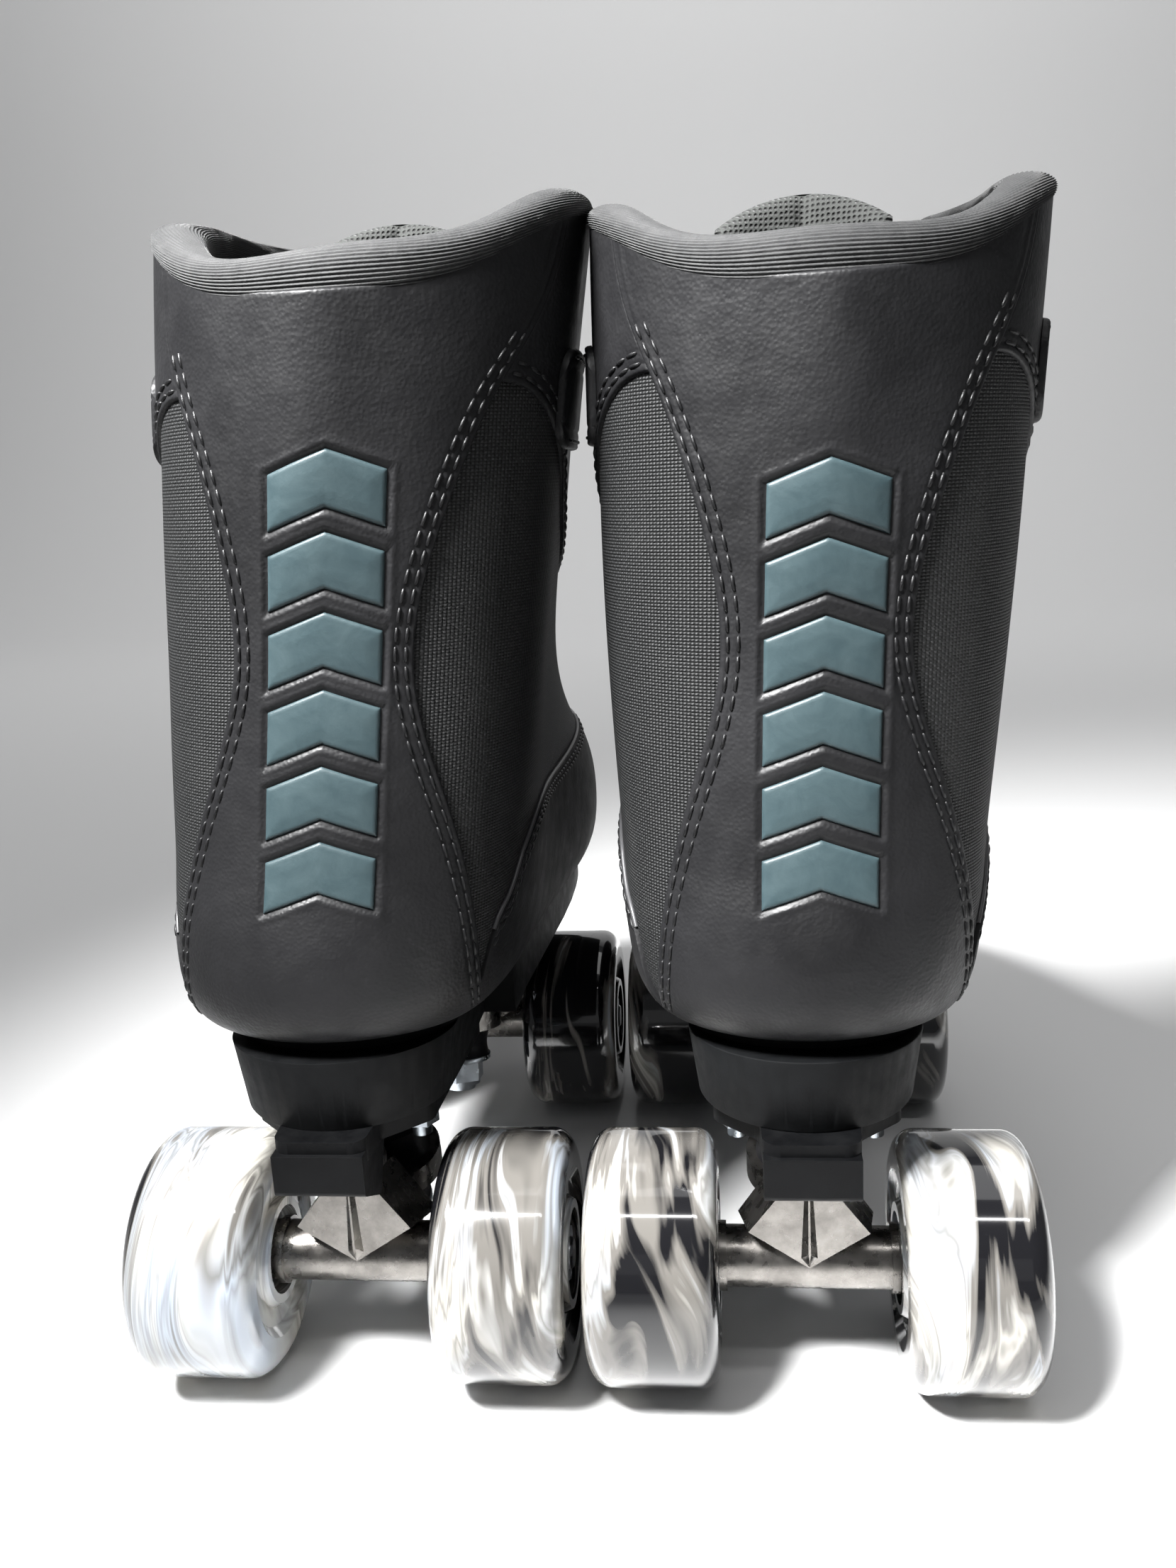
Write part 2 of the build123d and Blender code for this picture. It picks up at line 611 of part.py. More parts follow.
def hanger_face(rear, outline, u):
    """Cross-section of the hanger's web at u, from (x, z) points."""
    y = truck_point(rear, u, 0).Y
    points = [Vector(x, y, z) for x, z in outline]
    return Face(Wire.make_polygon(points, close=True))


def make_axle(y):
    """Axle right through the hanger and both wheels, with chamfered ends."""
    half = WHEEL_X + WHEEL_WIDTH / 2
    axle = rod(AXLE_RADIUS - 0.02, (-half, y, AXLE_Z), (1, 0, 0), 2 * half)
    return chamfer(axle.edges(), 0.6)


def bearing(x, y):
    """Shielded ball bearing, its rings standing a little proud of the shields."""
    width, shield = BEARING_WIDTH, 0.5
    profile = [(0, BEARING_BORE), (width, BEARING_BORE), (width, 5.9), (width - shield, 5.9)]
    profile += [(width - shield, 9.2), (width, 9.2), (width, BEARING_RADIUS), (0, BEARING_RADIUS)]
    profile += [(0, 9.2), (shield, 9.2), (shield, 5.9), (0, 5.9)]
    return spun(profile, x, y, AXLE_Z)


def make_bearings(y):
    """Two bearings in each wheel of one axle."""
    starts = []
    for start in BEARING_STARTS:
        starts.append(WHEEL_X + start)
        starts.append(-WHEEL_X - start - BEARING_WIDTH)
    return Compound(children=[bearing(x, y) for x in starts])


def make_axle_nuts(y):
    """Washer and lock nut at each end of one axle."""
    pieces = []
    for sign in (-1.0, 1.0):
        start = sign * (WHEEL_X + BEARING_STARTS[1] + BEARING_WIDTH + 0.02)
        washer = tube(6.0, AXLE_RADIUS, (start, y, AXLE_Z), (sign, 0, 0), AXLE_WASHER)
        length = WHEEL_X + WHEEL_WIDTH / 2 - abs(start) - AXLE_WASHER - 1.0
        nut_at = (start + sign * AXLE_WASHER, y, AXLE_Z)
        pieces.append(washer + hexagon(AXLE_NUT_FLATS, AXLE_RADIUS, nut_at, (sign, 0, 0), length))
    return Compound(children=pieces)


def make_wheel(x, y):
    """Wheel with rounded edges, dished faces and two bearing seats."""
    half = WHEEL_WIDTH / 2
    seat_in, seat_out = BEARING_STARTS[0] + BEARING_WIDTH + 0.02, BEARING_STARTS[1] - 0.02
    outside = 1.0 if x > 0 else -1.0
    profile = [(-half, SEAT_RADIUS), (seat_in, SEAT_RADIUS), (seat_in, SPACER_BORE)]
    profile += [(seat_out, SPACER_BORE), (seat_out, SEAT_RADIUS), (half, SEAT_RADIUS)]
    right_face = [(half, 13.2), (half - 1.8, 14.4), (half - 1.8, 19.0), (half, 21.5), (half, 25.0)]
    tread = [(half, 25.0), (half - 0.7, 27.8), (half - 2.6, 30.0), (half - 5.6, WHEEL_RADIUS)]
    left_face = [(-half, 21.5), (-half + 1.8, 19.0), (-half + 1.8, 14.4), (-half, 13.2)]
    line = Polyline(*[(outside * a, r) for a, r in left_face + profile + right_face])
    right_round = Spline(*[(outside * a, r) for a, r in tread])
    top = Line((outside * (half - 5.6), WHEEL_RADIUS), (outside * (5.6 - half), WHEEL_RADIUS))
    left_round = Spline(*[(outside * -a, r) for a, r in reversed(tread)])
    close = Line((outside * -half, 25.0), (outside * -half, 21.5))
    face = make_face([line, right_round, top, left_round, close])
    return Pos(x, y, AXLE_Z) * revolve(face, Axis.X)


# ---------------------------------------------------------------- the pair

def make_skate(side):
    """Every piece of one skate, by name, about its own rear axle."""
    pieces = {}
    outer = boot_body(side, 0.0)
    eyelets = eyelet_places(side, outer)
    pieces["upper"] = make_upper(side, outer, eyelets)
    pieces["eyelets"] = make_eyelets(eyelets)
    pieces["laces"] = make_laces(eyelets)
    pieces["tongue"] = make_tongue(side)
    pieces["collar_pad"] = make_collar(side)
    pieces["insole"] = make_insole(side)
    pieces["outsole"] = make_outsole(side)
    pieces["heel_block"] = make_heel_block()
    pieces["strap_base"], pieces["strap_flap"] = make_strap(side)
    pieces["plate"] = make_plate()
    pieces["mounting_hardware"] = make_mounting_hardware()
    pieces["toe_stop"], pieces["toe_stop_stem"] = make_toe_stop()
    pieces["pivot_cups"] = make_pivot_cups()
    pieces["kingpins"] = make_kingpins()
    for end, rear in (("front", False), ("rear", True)):
        y = truck_point(rear, 0, 0).Y
        pieces[end + "_cushions"] = make_cushions(rear)
        pieces[end + "_hanger"] = make_hanger(rear)
        pieces[end + "_axle"] = make_axle(y)
        pieces[end + "_bearings"] = make_bearings(y)
        pieces[end + "_axle_nuts"] = make_axle_nuts(y)
        pieces[end + "_left_wheel"] = make_wheel(-WHEEL_X, y)
        pieces[end + "_right_wheel"] = make_wheel(WHEEL_X, y)
    return pieces


def main():
    os.makedirs("parts", exist_ok=True)
    for side, skate_x in (("left", LEFT_SKATE_X), ("right", RIGHT_SKATE_X)):
        place = Pos(skate_x, REAR_AXLE_Y, 0)
        for name, piece in make_skate(side).items():
            export_step(place * piece, f"parts/{side}_{name}.step")


main()
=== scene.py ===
import math

import bpy
import numpy as np
from mathutils import Matrix, Vector


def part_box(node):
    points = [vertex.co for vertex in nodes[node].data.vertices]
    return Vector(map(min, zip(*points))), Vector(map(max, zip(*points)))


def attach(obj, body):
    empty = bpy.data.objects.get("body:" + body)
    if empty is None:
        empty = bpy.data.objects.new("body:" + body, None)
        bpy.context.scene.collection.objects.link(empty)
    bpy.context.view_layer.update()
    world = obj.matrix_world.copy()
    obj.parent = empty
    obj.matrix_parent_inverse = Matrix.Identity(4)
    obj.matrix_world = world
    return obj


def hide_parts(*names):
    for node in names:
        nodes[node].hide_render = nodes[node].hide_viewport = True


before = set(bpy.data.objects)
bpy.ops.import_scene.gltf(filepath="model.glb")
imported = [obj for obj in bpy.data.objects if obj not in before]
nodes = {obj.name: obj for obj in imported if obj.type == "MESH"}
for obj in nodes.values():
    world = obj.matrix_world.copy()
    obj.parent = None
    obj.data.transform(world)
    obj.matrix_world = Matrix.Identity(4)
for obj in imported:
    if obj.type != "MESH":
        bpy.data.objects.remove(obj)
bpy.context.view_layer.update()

SIDES = ("left", "right")
MM = 0.001


# ---------------------------------------------------------------- places from the frame

def box_middle(node):
    """Middle of a CAD node's box."""
    low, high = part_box(node)
    return (low + high) / 2


def skate_place(side):
    """Middle of a skate's rear axle, from its two rear wheels."""
    return (box_middle(side + "_rear_left_wheel") + box_middle(side + "_rear_right_wheel")) / 2


AXLE = {side: skate_place(side) for side in SIDES}
PAIR_X = (AXLE["left"].x + AXLE["right"].x) / 2
AXLE_Y = AXLE["left"].y


# ---------------------------------------------------------------- camera, floor and light

CAMERA_PLACE = (0.0416, -0.2962, 0.2227)
CAMERA_YAW, CAMERA_PITCH, CAMERA_ROLL = 6.592, 13.146, -2.966


def make_camera():
    """Camera behind the pair, a little above the collars, looking down at them.

    Its place is given from the middle between the skates, over their rear axles.
    """
    data = bpy.data.cameras.new("camera")
    data.lens = 30.31
    data.sensor_width = 36.0
    data.sensor_height = 36.0
    camera = bpy.data.objects.new("camera", data)
    bpy.context.scene.collection.objects.link(camera)
    aside, behind, high = CAMERA_PLACE
    camera.location = (PAIR_X + aside, AXLE_Y + behind, high)
    yaw, pitch, roll = map(math.radians, (CAMERA_YAW, CAMERA_PITCH, CAMERA_ROLL))
    forward = Vector((-math.sin(yaw) * math.cos(pitch), math.cos(yaw) * math.cos(pitch), -math.sin(pitch)))
    level = Vector((math.cos(yaw), math.sin(yaw), 0.0))
    upright = level.cross(forward)
    right = level * math.cos(roll) + upright * math.sin(roll)
    up = upright * math.cos(roll) - level * math.sin(roll)
    camera.rotation_mode = "QUATERNION"
    axes = Matrix([[right[i], up[i], -forward[i]] for i in range(3)])
    camera.rotation_quaternion = axes.to_quaternion()
    bpy.context.scene.camera = camera


def area_light(name, place, target, size, power, spread=180.0):
    """Rectangular soft light aimed at a point."""
    data = bpy.data.lights.new(name, "AREA")
    data.shape = "RECTANGLE"
    data.size, data.size_y = size
    data.energy = power
    data.spread = math.radians(spread)
    light = bpy.data.objects.new(name, data)
    bpy.context.scene.collection.objects.link(light)
    light.location = place
    aim = Vector(target) - Vector(place)
    light.rotation_mode = "QUATERNION"
    light.rotation_quaternion = aim.to_track_quat("-Z", "Y")


def make_world():
    """Even pale light from all round."""
    world = bpy.data.worlds.new("world")
    bpy.context.scene.world = world
    world.use_nodes = True
    background = world.node_tree.nodes["Background"]
    background.inputs["Color"].default_value = (0.95, 0.97, 1.0, 1.0)
    background.inputs["Strength"].default_value = 0.12
    bpy.context.scene.view_settings.view_transform = "Standard"


def make_stage():
    """Pale floor that curves up into a backdrop."""
    reach, front, back, radius, top = 4.0, -4.0, 1.6, 1.0, 3.2
    steps = 16
    profile = [(front, 0.0), (back, 0.0)]
    for step in range(1, steps + 1):
        turn = math.pi / 2 * step / steps
        profile.append((back + radius * math.sin(turn), radius * (1.0 - math.cos(turn))))
    profile.append((back + radius, top))
    points = [(x, y, z) for y, z in profile for x in (-reach, reach)]
    faces = [(2 * i, 2 * i + 1, 2 * i + 3, 2 * i + 2) for i in range(len(profile) - 1)]
    mesh = bpy.data.meshes.new("floor")
    mesh.from_pydata(points, [], faces)
    mesh.shade_smooth()
    floor = bpy.data.objects.new("floor", mesh)
    bpy.context.scene.collection.objects.link(floor)
    mesh.materials.append(plain_material("floor_paint", (0.74, 0.74, 0.74), 0.8))


def make_lights():
    """Key from the upper left, a narrow strip overhead, light on the floor behind and a weak fill."""
    area_light("key", (-0.30, -0.42, 0.74), (-0.03, -0.12, 0.27), (0.26, 0.16), 3.4, spread=46.0)
    area_light("strip", (0.02, -0.62, 1.15), (0.0, -0.10, 0.03), (1.1, 0.045), 3.6)
    area_light("overhead", (0.0, 0.35, 2.1), (0.0, 0.35, 0.0), (2.2, 1.4), 13.5)
    area_light("fill", (0.1, -1.6, 0.7), (0.0, 0.0, 0.1), (0.9, 0.5), 0.2)
    area_light("backdrop", (0.0, 1.0, 1.9), (0.0, 2.6, 1.2), (2.5, 1.0), 26.0)


# ---------------------------------------------------------------- materials

class Shader:
    """A material's node tree, with short calls to add to it."""

    def __init__(self, name):
        self.material = bpy.data.materials.new(name)
        self.material.use_nodes = True
        self.nodes = self.material.node_tree.nodes
        self.links = self.material.node_tree.links
        self.surface = self.nodes["Principled BSDF"]

    def add(self, kind, settings=None, **inputs):
        """New node; an input is a number, a colour or another node's output."""
        node = self.nodes.new(kind)
        for key, value in (settings or {}).items():
            setattr(node, key, value)
        for key, value in inputs.items():
            self.set(node, key, value)
        return node

    def set(self, node, key, value):
        """Value or link for one input, named with _ for a space or numbered i0, i1."""
        numbered = key[0] == "i" and key[1:].isdigit()
        socket = node.inputs[int(key[1:]) if numbered else key.replace("_", " ")]
        if isinstance(value, bpy.types.NodeSocket):
            self.links.new(value, socket)
        elif isinstance(value, tuple) and len(value) == 3 and socket.type == "RGBA":
            socket.default_value = (*value, 1.0)
        else:
            socket.default_value = value

    def coordinates(self, kind="Object"):
        """Texture coordinates of the piece."""
        return self.add("ShaderNodeTexCoord").outputs[kind]

    def noise(self, vector, scale, detail=3.0, roughness=0.5, distortion=0.0):
        """Noise value over a vector."""
        node = self.add("ShaderNodeTexNoise", Vector=vector, Scale=scale, Detail=detail, Roughness=roughness)
        node.inputs["Distortion"].default_value = distortion
        return node.outputs["Fac"]

    def ramp(self, value, *stops):
        """Colour ramp with stops (place, colour)."""
        node = self.add("ShaderNodeValToRGB", Fac=value)
        elements = node.color_ramp.elements
        while len(elements) < len(stops):
            elements.new(1.0)
        for element, (place, colour) in zip(elements, stops):
            element.position = place
            element.color = (*colour, 1.0) if isinstance(colour, tuple) else (colour, colour, colour, 1.0)
        return node.outputs["Color"]

    def math(self, operation, first, second=0.0, third=0.0):
        """One arithmetic step."""
        return self.add("ShaderNodeMath", {"operation": operation}, i0=first, i1=second, i2=third).outputs[0]

    def mix(self, factor, first, second):
        """Colour between first and second."""
        return self.add("ShaderNodeMix", {"data_type": "RGBA"}, i0=factor, i6=first, i7=second).outputs[2]

    def vector(self, operation, first, second):
        """One arithmetic step on vectors."""
        return self.add("ShaderNodeVectorMath", {"operation": operation}, i0=first, i1=second).outputs[0]

    def bump(self, height, distance, strength=1.0):
        """Bumps from a height, on the surface's normal."""
        node = self.add("ShaderNodeBump", Height=height, Distance=distance, Strength=strength)
        if self.surface.inputs["Normal"].links:
            self.links.new(self.surface.inputs["Normal"].links[0].from_socket, node.inputs["Normal"])
        self.set(self.surface, "Normal", node.outputs["Normal"])

    def finish(self, **inputs):
        """Sets the surface's inputs and gives back the material."""
        for key, value in inputs.items():
            self.set(self.surface, key, value)
        return self.material


def plain_material(name, colour, roughness):
    """Even paint."""
    return Shader(name).finish(Base_Color=colour, Roughness=roughness)


def leatherette(name, dark, light, roughness=0.46):
    """Fine-grained coated leather with a soft dusty bloom and small scuffs."""
    s = Shader(name)
    at = s.coordinates()
    cloud = s.noise(at, 22.0, 5.0, 0.6)
    colour = s.mix(s.ramp(cloud, (0.35, 0.0), (0.72, 1.0)), dark, light)
    smear = s.noise(at, 65.0, 6.0, 0.7, 1.5)
    colour = s.mix(s.ramp(smear, (0.66, 0.0), (0.80, 0.35)), colour, (0.055, 0.055, 0.058))
    grain = s.add("ShaderNodeTexVoronoi", {"feature": "SMOOTH_F1"}, Vector=at, Scale=1150.0, Smoothness=0.6)
    height = s.math("ADD", grain.outputs["Distance"], s.noise(at, 420.0, 4.0, 0.6))
    s.bump(height, 0.00011, 0.75)
    s.bump(s.noise(at, 60.0, 3.0, 0.5), 0.0009, 0.35)
    rough = s.ramp(s.noise(at, 130.0, 5.0, 0.65), (0.3, roughness - 0.07), (0.75, roughness + 0.12))
    return s.finish(Base_Color=colour, Roughness=rough, Specular_IOR_Level=0.27)


def woven(name, pitch_u, pitch_v, dark, light, depth, roughness=0.6):
    """Plain weave of thick threads, from the piece's own millimetre coordinates."""
    s = Shader(name)
    uv = s.add("ShaderNodeSeparateXYZ", Vector=s.coordinates("UV"))
    u = s.math("MULTIPLY", uv.outputs[0], 1.0 / pitch_u)
    v = s.math("MULTIPLY", uv.outputs[1], 1.0 / pitch_v)
    across = s.math("ABSOLUTE", s.math("SINE", s.math("MULTIPLY", u, math.pi)))
    along = s.math("ABSOLUTE", s.math("SINE", s.math("MULTIPLY", v, math.pi)))
    square = s.math("MODULO", s.math("ADD", s.math("FLOOR", u), s.math("FLOOR", v)), 2.0)
    over = s.math("ABSOLUTE", square)
    warp = s.math("MULTIPLY", s.math("POWER", across, 0.5), s.math("MULTIPLY_ADD", along, 0.6, 0.4))
    weft = s.math("MULTIPLY", s.math("POWER", along, 0.5), s.math("MULTIPLY_ADD", across, 0.6, 0.4))
    weft = s.math("MULTIPLY", weft, 0.8)
    height = s.add("ShaderNodeMix", {"data_type": "FLOAT"}, i0=over, i2=warp, i3=weft).outputs[0]
    dust = s.noise(s.coordinates(), 45.0, 5.0, 0.65)
    # Thread tops lighter and the gaps between threads near black, following the weave's height: painted
    # highlight on the crests and painted shade in the valleys.
    colour = s.mix(s.math("POWER", height, 3.0), dark, light)
    colour = s.mix(s.ramp(dust, (0.55, 0.0), (0.85, 0.3)), colour, (0.05, 0.05, 0.049))
    s.bump(height, depth, 0.9)
    return s.finish(Base_Color=colour, Roughness=roughness, Specular_IOR_Level=0.3)


def spacer_mesh(name):
    """Three-dimensional mesh fabric with rows of small oval holes."""
    s = Shader(name)
    place = s.add("ShaderNodeMapping", Vector=s.coordinates("UV"), Scale=(1 / 1.7, 1 / 1.35, 1.0)).outputs[0]
    cells = s.add("ShaderNodeTexVoronoi", {"feature": "F1"}, Vector=place, Scale=1.0, Randomness=0.12)
    hole = s.ramp(cells.outputs["Distance"], (0.12, 0.0), (0.42, 1.0))
    fuzz = s.noise(s.coordinates(), 900.0, 3.0, 0.7)
    # The holes are painted near black: painted shade inside them, with a bump round their rims.
    colour = s.mix(hole, (0.002, 0.002, 0.002), (0.026, 0.028, 0.026))
    s.bump(hole, 0.0006, 1.0)
    s.bump(fuzz, 0.0002, 0.5)
    return s.finish(Base_Color=colour, Roughness=0.85, Sheen_Weight=0.1, Sheen_Roughness=0.5)


def ribbed_fabric(name):
    """Knitted cover of the collar; its ribs are in the mesh."""
    s = Shader(name)
    at = s.coordinates()
    lint = s.ramp(s.noise(at, 300.0, 6.0, 0.75), (0.35, 0.0), (0.85, 1.0))
    colour = s.mix(lint, (0.008, 0.0085, 0.009), (0.03, 0.03, 0.03))
    s.bump(s.noise(at, 1800.0, 3.0, 0.6), 0.00015, 0.8)
    return s.finish(Base_Color=colour, Roughness=0.75, Sheen_Weight=0.12, Sheen_Roughness=0.45)


def braid(name, colour, light):
    """Thread or lace with a fine twisted surface."""
    s = Shader(name)
    at = s.coordinates()
    shade = s.mix(s.noise(at, 1500.0, 3.0, 0.7), colour, light)
    s.bump(s.noise(at, 2600.0, 2.0, 0.6), 0.0001, 0.7)
    return s.finish(Base_Color=shade, Roughness=0.42, Specular_IOR_Level=0.28)


def motif_fill(name):
    """Slate-teal filled embossing with fine rubbed lines."""
    s = Shader(name)
    at = s.coordinates()
    rub = s.ramp(s.noise(at, 140.0, 6.0, 0.7, 0.8), (0.35, 0.0), (0.8, 1.0))
    colour = s.mix(rub, (0.022, 0.038, 0.043), (0.038, 0.058, 0.063))
    s.bump(s.noise(at, 1100.0, 4.0, 0.6), 0.00008, 0.6)
    return s.finish(Base_Color=colour, Roughness=0.46, Specular_IOR_Level=0.35)


def rubber(name, dark, light, roughness):
    """Matt moulded rubber, dusty and a little scuffed."""
    s = Shader(name)
    at = s.coordinates()
    dust = s.ramp(s.noise(at, 55.0, 6.0, 0.7, 0.6), (0.45, 0.0), (0.85, 1.0))
    colour = s.mix(dust, dark, light)
    s.bump(s.noise(at, 900.0, 3.0, 0.6), 0.00006, 0.7)
    rough = s.ramp(s.noise(at, 200.0, 4.0, 0.6), (0.3, roughness - 0.08), (0.7, roughness + 0.1))
    return s.finish(Base_Color=colour, Roughness=rough, Specular_IOR_Level=0.16)


def metal(name, dark, light, roughness, grain=350.0):
    """Plated or cast metal with slight tarnish."""
    s = Shader(name)
    at = s.coordinates()
    tarnish = s.ramp(s.noise(at, 120.0, 5.0, 0.65), (0.3, 0.0), (0.75, 1.0))
    colour = s.mix(tarnish, dark, light)
    rough = s.ramp(s.noise(at, 260.0, 5.0, 0.6), (0.3, roughness - 0.06), (0.75, roughness + 0.12))
    s.bump(s.noise(at, grain, 4.0, 0.55), 0.00012, 0.5)
    return s.finish(Base_Color=colour, Roughness=rough, Metallic=1.0)


def marble(name, centre, darkness, turn):
    """Poured swirl of black, grey, cream and bluish white that runs round the wheel."""
    s = Shader(name)
    at = s.vector("SUBTRACT", s.coordinates(), tuple(centre))
    place = s.add("ShaderNodeMapping", Vector=at, Rotation=(turn, 0.10, 0.06), Scale=(1.5, 0.36, 0.36))
    place = place.outputs[0]
    first = s.add("ShaderNodeTexNoise", Vector=place, Scale=26.0, Detail=1.5, Roughness=0.4)
    push = s.vector("SUBTRACT", first.outputs["Color"], (0.5, 0.5, 0.5))
    warped = s.vector("ADD", place, s.vector("MULTIPLY", push, (0.075, 0.05, 0.05)))
    flow = s.noise(warped, 44.0, 2.0, 0.42, 0.5)
    drawn = s.add("ShaderNodeMapping", Vector=warped, Scale=(1.0, 0.3, 0.3)).outputs[0]
    streak = s.noise(drawn, 260.0, 2.5, 0.5, 0.35)
    value = s.math("MULTIPLY_ADD", s.math("SUBTRACT", streak, 0.5), 0.42, flow)
    # darkness shifts the swirl towards black; per wheel it carries painted shade on the wheels under the
    # boots and between the skates.
    d = darkness
    cream = s.ramp(s.noise(warped, 70.0, 1.0), (0.4, 0.0), (0.6, 1.0))
    white = s.mix(cream, (0.44, 0.49, 0.56), (0.62, 0.60, 0.545))
    lighter = s.ramp(value, (0.36 + d, 0.0), (0.43 + d, 1.0))
    grey = s.mix(lighter, (0.005, 0.005, 0.006), (0.125, 0.118, 0.108))
    pale = s.ramp(value, (0.45 + d, 0.0), (0.50 + d, 0.55), (0.535 + d, 0.15),
                  (0.59 + d, 0.9), (0.64 + d, 0.5), (0.70 + d, 1.0))
    colour = s.mix(pale, grey, white)
    return s.finish(Base_Color=colour, Roughness=0.10, Coat_Weight=0.7, Coat_Roughness=0.03)


# ---------------------------------------------------------------- meshes

def put(name, points, faces, material, body, replaces=(), smooth_below=50.0, uv=None):
    """Makes a piece from points in metres, gives it its material and sets it on its body."""
    mesh = bpy.data.meshes.new(name)
    mesh.from_pydata([tuple(p) for p in points], [], faces)
    mesh.validate()
    if uv is not None:
        layer = mesh.uv_layers.new(name="surface_mm")
        loops = np.zeros(len(mesh.loops), np.int32)
        mesh.loops.foreach_get("vertex_index", loops)
        layer.data.foreach_set("uv", np.asarray(uv, np.float32)[loops].ravel())
    mesh.shade_smooth()
    mesh.set_sharp_from_angle(angle=math.radians(smooth_below))
    mesh.materials.append(material)
    piece = bpy.data.objects.new(name, mesh)
    bpy.context.scene.collection.objects.link(piece)
    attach(piece, body)
    if replaces:
        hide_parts(*replaces)
    return piece


def grid_faces(rows, columns, start=0, wrap=False, flip=False):
    """Quads of a grid of points stored row by row."""
    faces = []
    for i in range(rows - 1):
        for j in range(columns if wrap else columns - 1):
            k = (j + 1) % columns
            quad = (start + i * columns + j, start + i * columns + k,
                    start + (i + 1) * columns + k, start + (i + 1) * columns + j)
            faces.append(quad[::-1] if flip else quad)
    return faces


def tube_faces(rings, around, start=0):
    """Faces of a tube of rings, closed by a flat end at each side."""
    faces = grid_faces(rings, around, start, wrap=True)
    faces.append(tuple(start + k for k in range(around))[::-1])
    faces.append(tuple(start + (rings - 1) * around + k for k in range(around)))
    return faces


def border(rows, columns):
    """Indices round the edge of a grid, in order."""
    low = list(range(columns))
    right = [i * columns + columns - 1 for i in range(1, rows)]
    top = [(rows - 1) * columns + j for j in range(columns - 2, -1, -1)]
    left = [i * columns for i in range(rows - 2, 0, -1)]
    return low + right + top + left


def shell(outer, inner):
    """Points and faces of a closed shell between two grids of the same size."""
    rows, columns = outer.shape[:2]
    count = rows * columns
    points = np.concatenate([outer.reshape(-1, 3), inner.reshape(-1, 3)])
    faces = grid_faces(rows, columns) + grid_faces(rows, columns, count, flip=True)
    edge = border(rows, columns)
    for a, b in zip(edge, edge[1:] + edge[:1]):
        faces.append((b, a, a + count, b + count))
    return points, faces


def two_sided(across, height):
    """Millimetre coordinates of a grid, for its outer side and then its inner side."""
    uv = np.stack([across, height], axis=2).reshape(-1, 2)
    return np.concatenate([uv, uv])


def natural_spline(knots, values, at):
    """Natural cubic spline through values at knots, read at other places."""
    knots, values = np.asarray(knots, float), np.asarray(values, float)
    n, h = len(knots), np.diff(knots)
    matrix = np.eye(n)
    right = np.zeros((n,) + values.shape[1:])
    for i in range(1, n - 1):
        matrix[i, i - 1:i + 2] = h[i - 1], 2 * (h[i - 1] + h[i]), h[i]
        right[i] = 6 * ((values[i + 1] - values[i]) / h[i] - (values[i] - values[i - 1]) / h[i - 1])
    bend = np.linalg.solve(matrix, right.reshape(n, -1)).reshape(right.shape)
    at = np.asarray(at, float)
    i = np.clip(np.searchsorted(knots, at, side="right") - 1, 0, n - 2)
    shape = (-1,) + (1,) * (values.ndim - 1)
    step = h[i].reshape(shape)
    a = ((knots[i + 1] - at) / h[i]).reshape(shape)
    b = 1 - a
    curve = (a ** 3 - a) * bend[i] + (b ** 3 - b) * bend[i + 1]
    return a * values[i] + b * values[i + 1] + curve * step ** 2 / 6


def smooth(value):
    """Ease from 0 to 1."""
    value = np.clip(value, 0.0, 1.0)
    return value * value * (3.0 - 2.0 * value)


def line_through(*points):
    """Smooth function through (place, value) points, level beyond them."""
    knots, values = zip(*points)

    def read(at):
        inside = np.clip(at, knots[0], knots[-1]).ravel()
        return natural_spline(knots, values, inside).reshape(np.shape(at))
    return read


# ---------------------------------------------------------------- the boot's surface

# Height, back, front, half width at the rear and half width at the front of each level of a boot.
BOOT_LEVELS = (
    (97.0, -19.0, 221.0, 30.0, 35.0),
    (99.5, -24.0, 228.0, 35.0, 39.5),
    (104.5, -27.5, 232.0, 38.5, 43.0),
    (113.0, -29.0, 233.0, 40.5, 44.5),
    (124.0, -28.5, 227.0, 42.0, 44.0),
    (136.0, -26.5, 206.0, 43.0, 42.6),
    (150.0, -25.0, 172.0, 44.3, 42.0),
    (166.0, -24.0, 138.0, 46.0, 42.0),
    (186.0, -23.5, 108.0, 47.5, 43.5),
    (210.0, -24.5, 89.0, 48.5, 45.0),
    (238.0, -26.0, 81.0, 49.0, 45.5),
    (268.0, -27.5, 80.0, 49.5, 46.0),
    (300.0, -28.5, 82.0, 49.5, 46.0),
)
LEAN = {"left": 17.5, "right": 5.0}
LEAN_POWER = 1.3
LEAN_START, LEAN_HEIGHT = 105.0, 157.0
SHAFT_WIDER = {"left": -1.2, "right": 0.3}
MEDIAL = {"left": 1.0, "right": -1.0}
TOE_SWING = {"left": 1.0, "right": 3.0}
COLLAR_LIFT = {"left": 3.0, "right": 0.0}
COLLAR_LINE = ((-40.0, 255.0), (-25.0, 257.5), (-11.0, 267.0), (8.0, 274.5), (40.0, 276.5), (95.0, 274.0))
SOLE_TILT = math.radians(3.4)
SOLE_Z = 97.0
THROAT_Z = 152.0
THROAT_HALF = 13.0
STATIONS = 18
PER_STATION = 24


def lean_at(side, height):
    """How far the soft boot leans towards +X at a height."""
    return LEAN[side] * (max(height - LEAN_START, 0.0) / LEAN_HEIGHT) ** LEAN_POWER


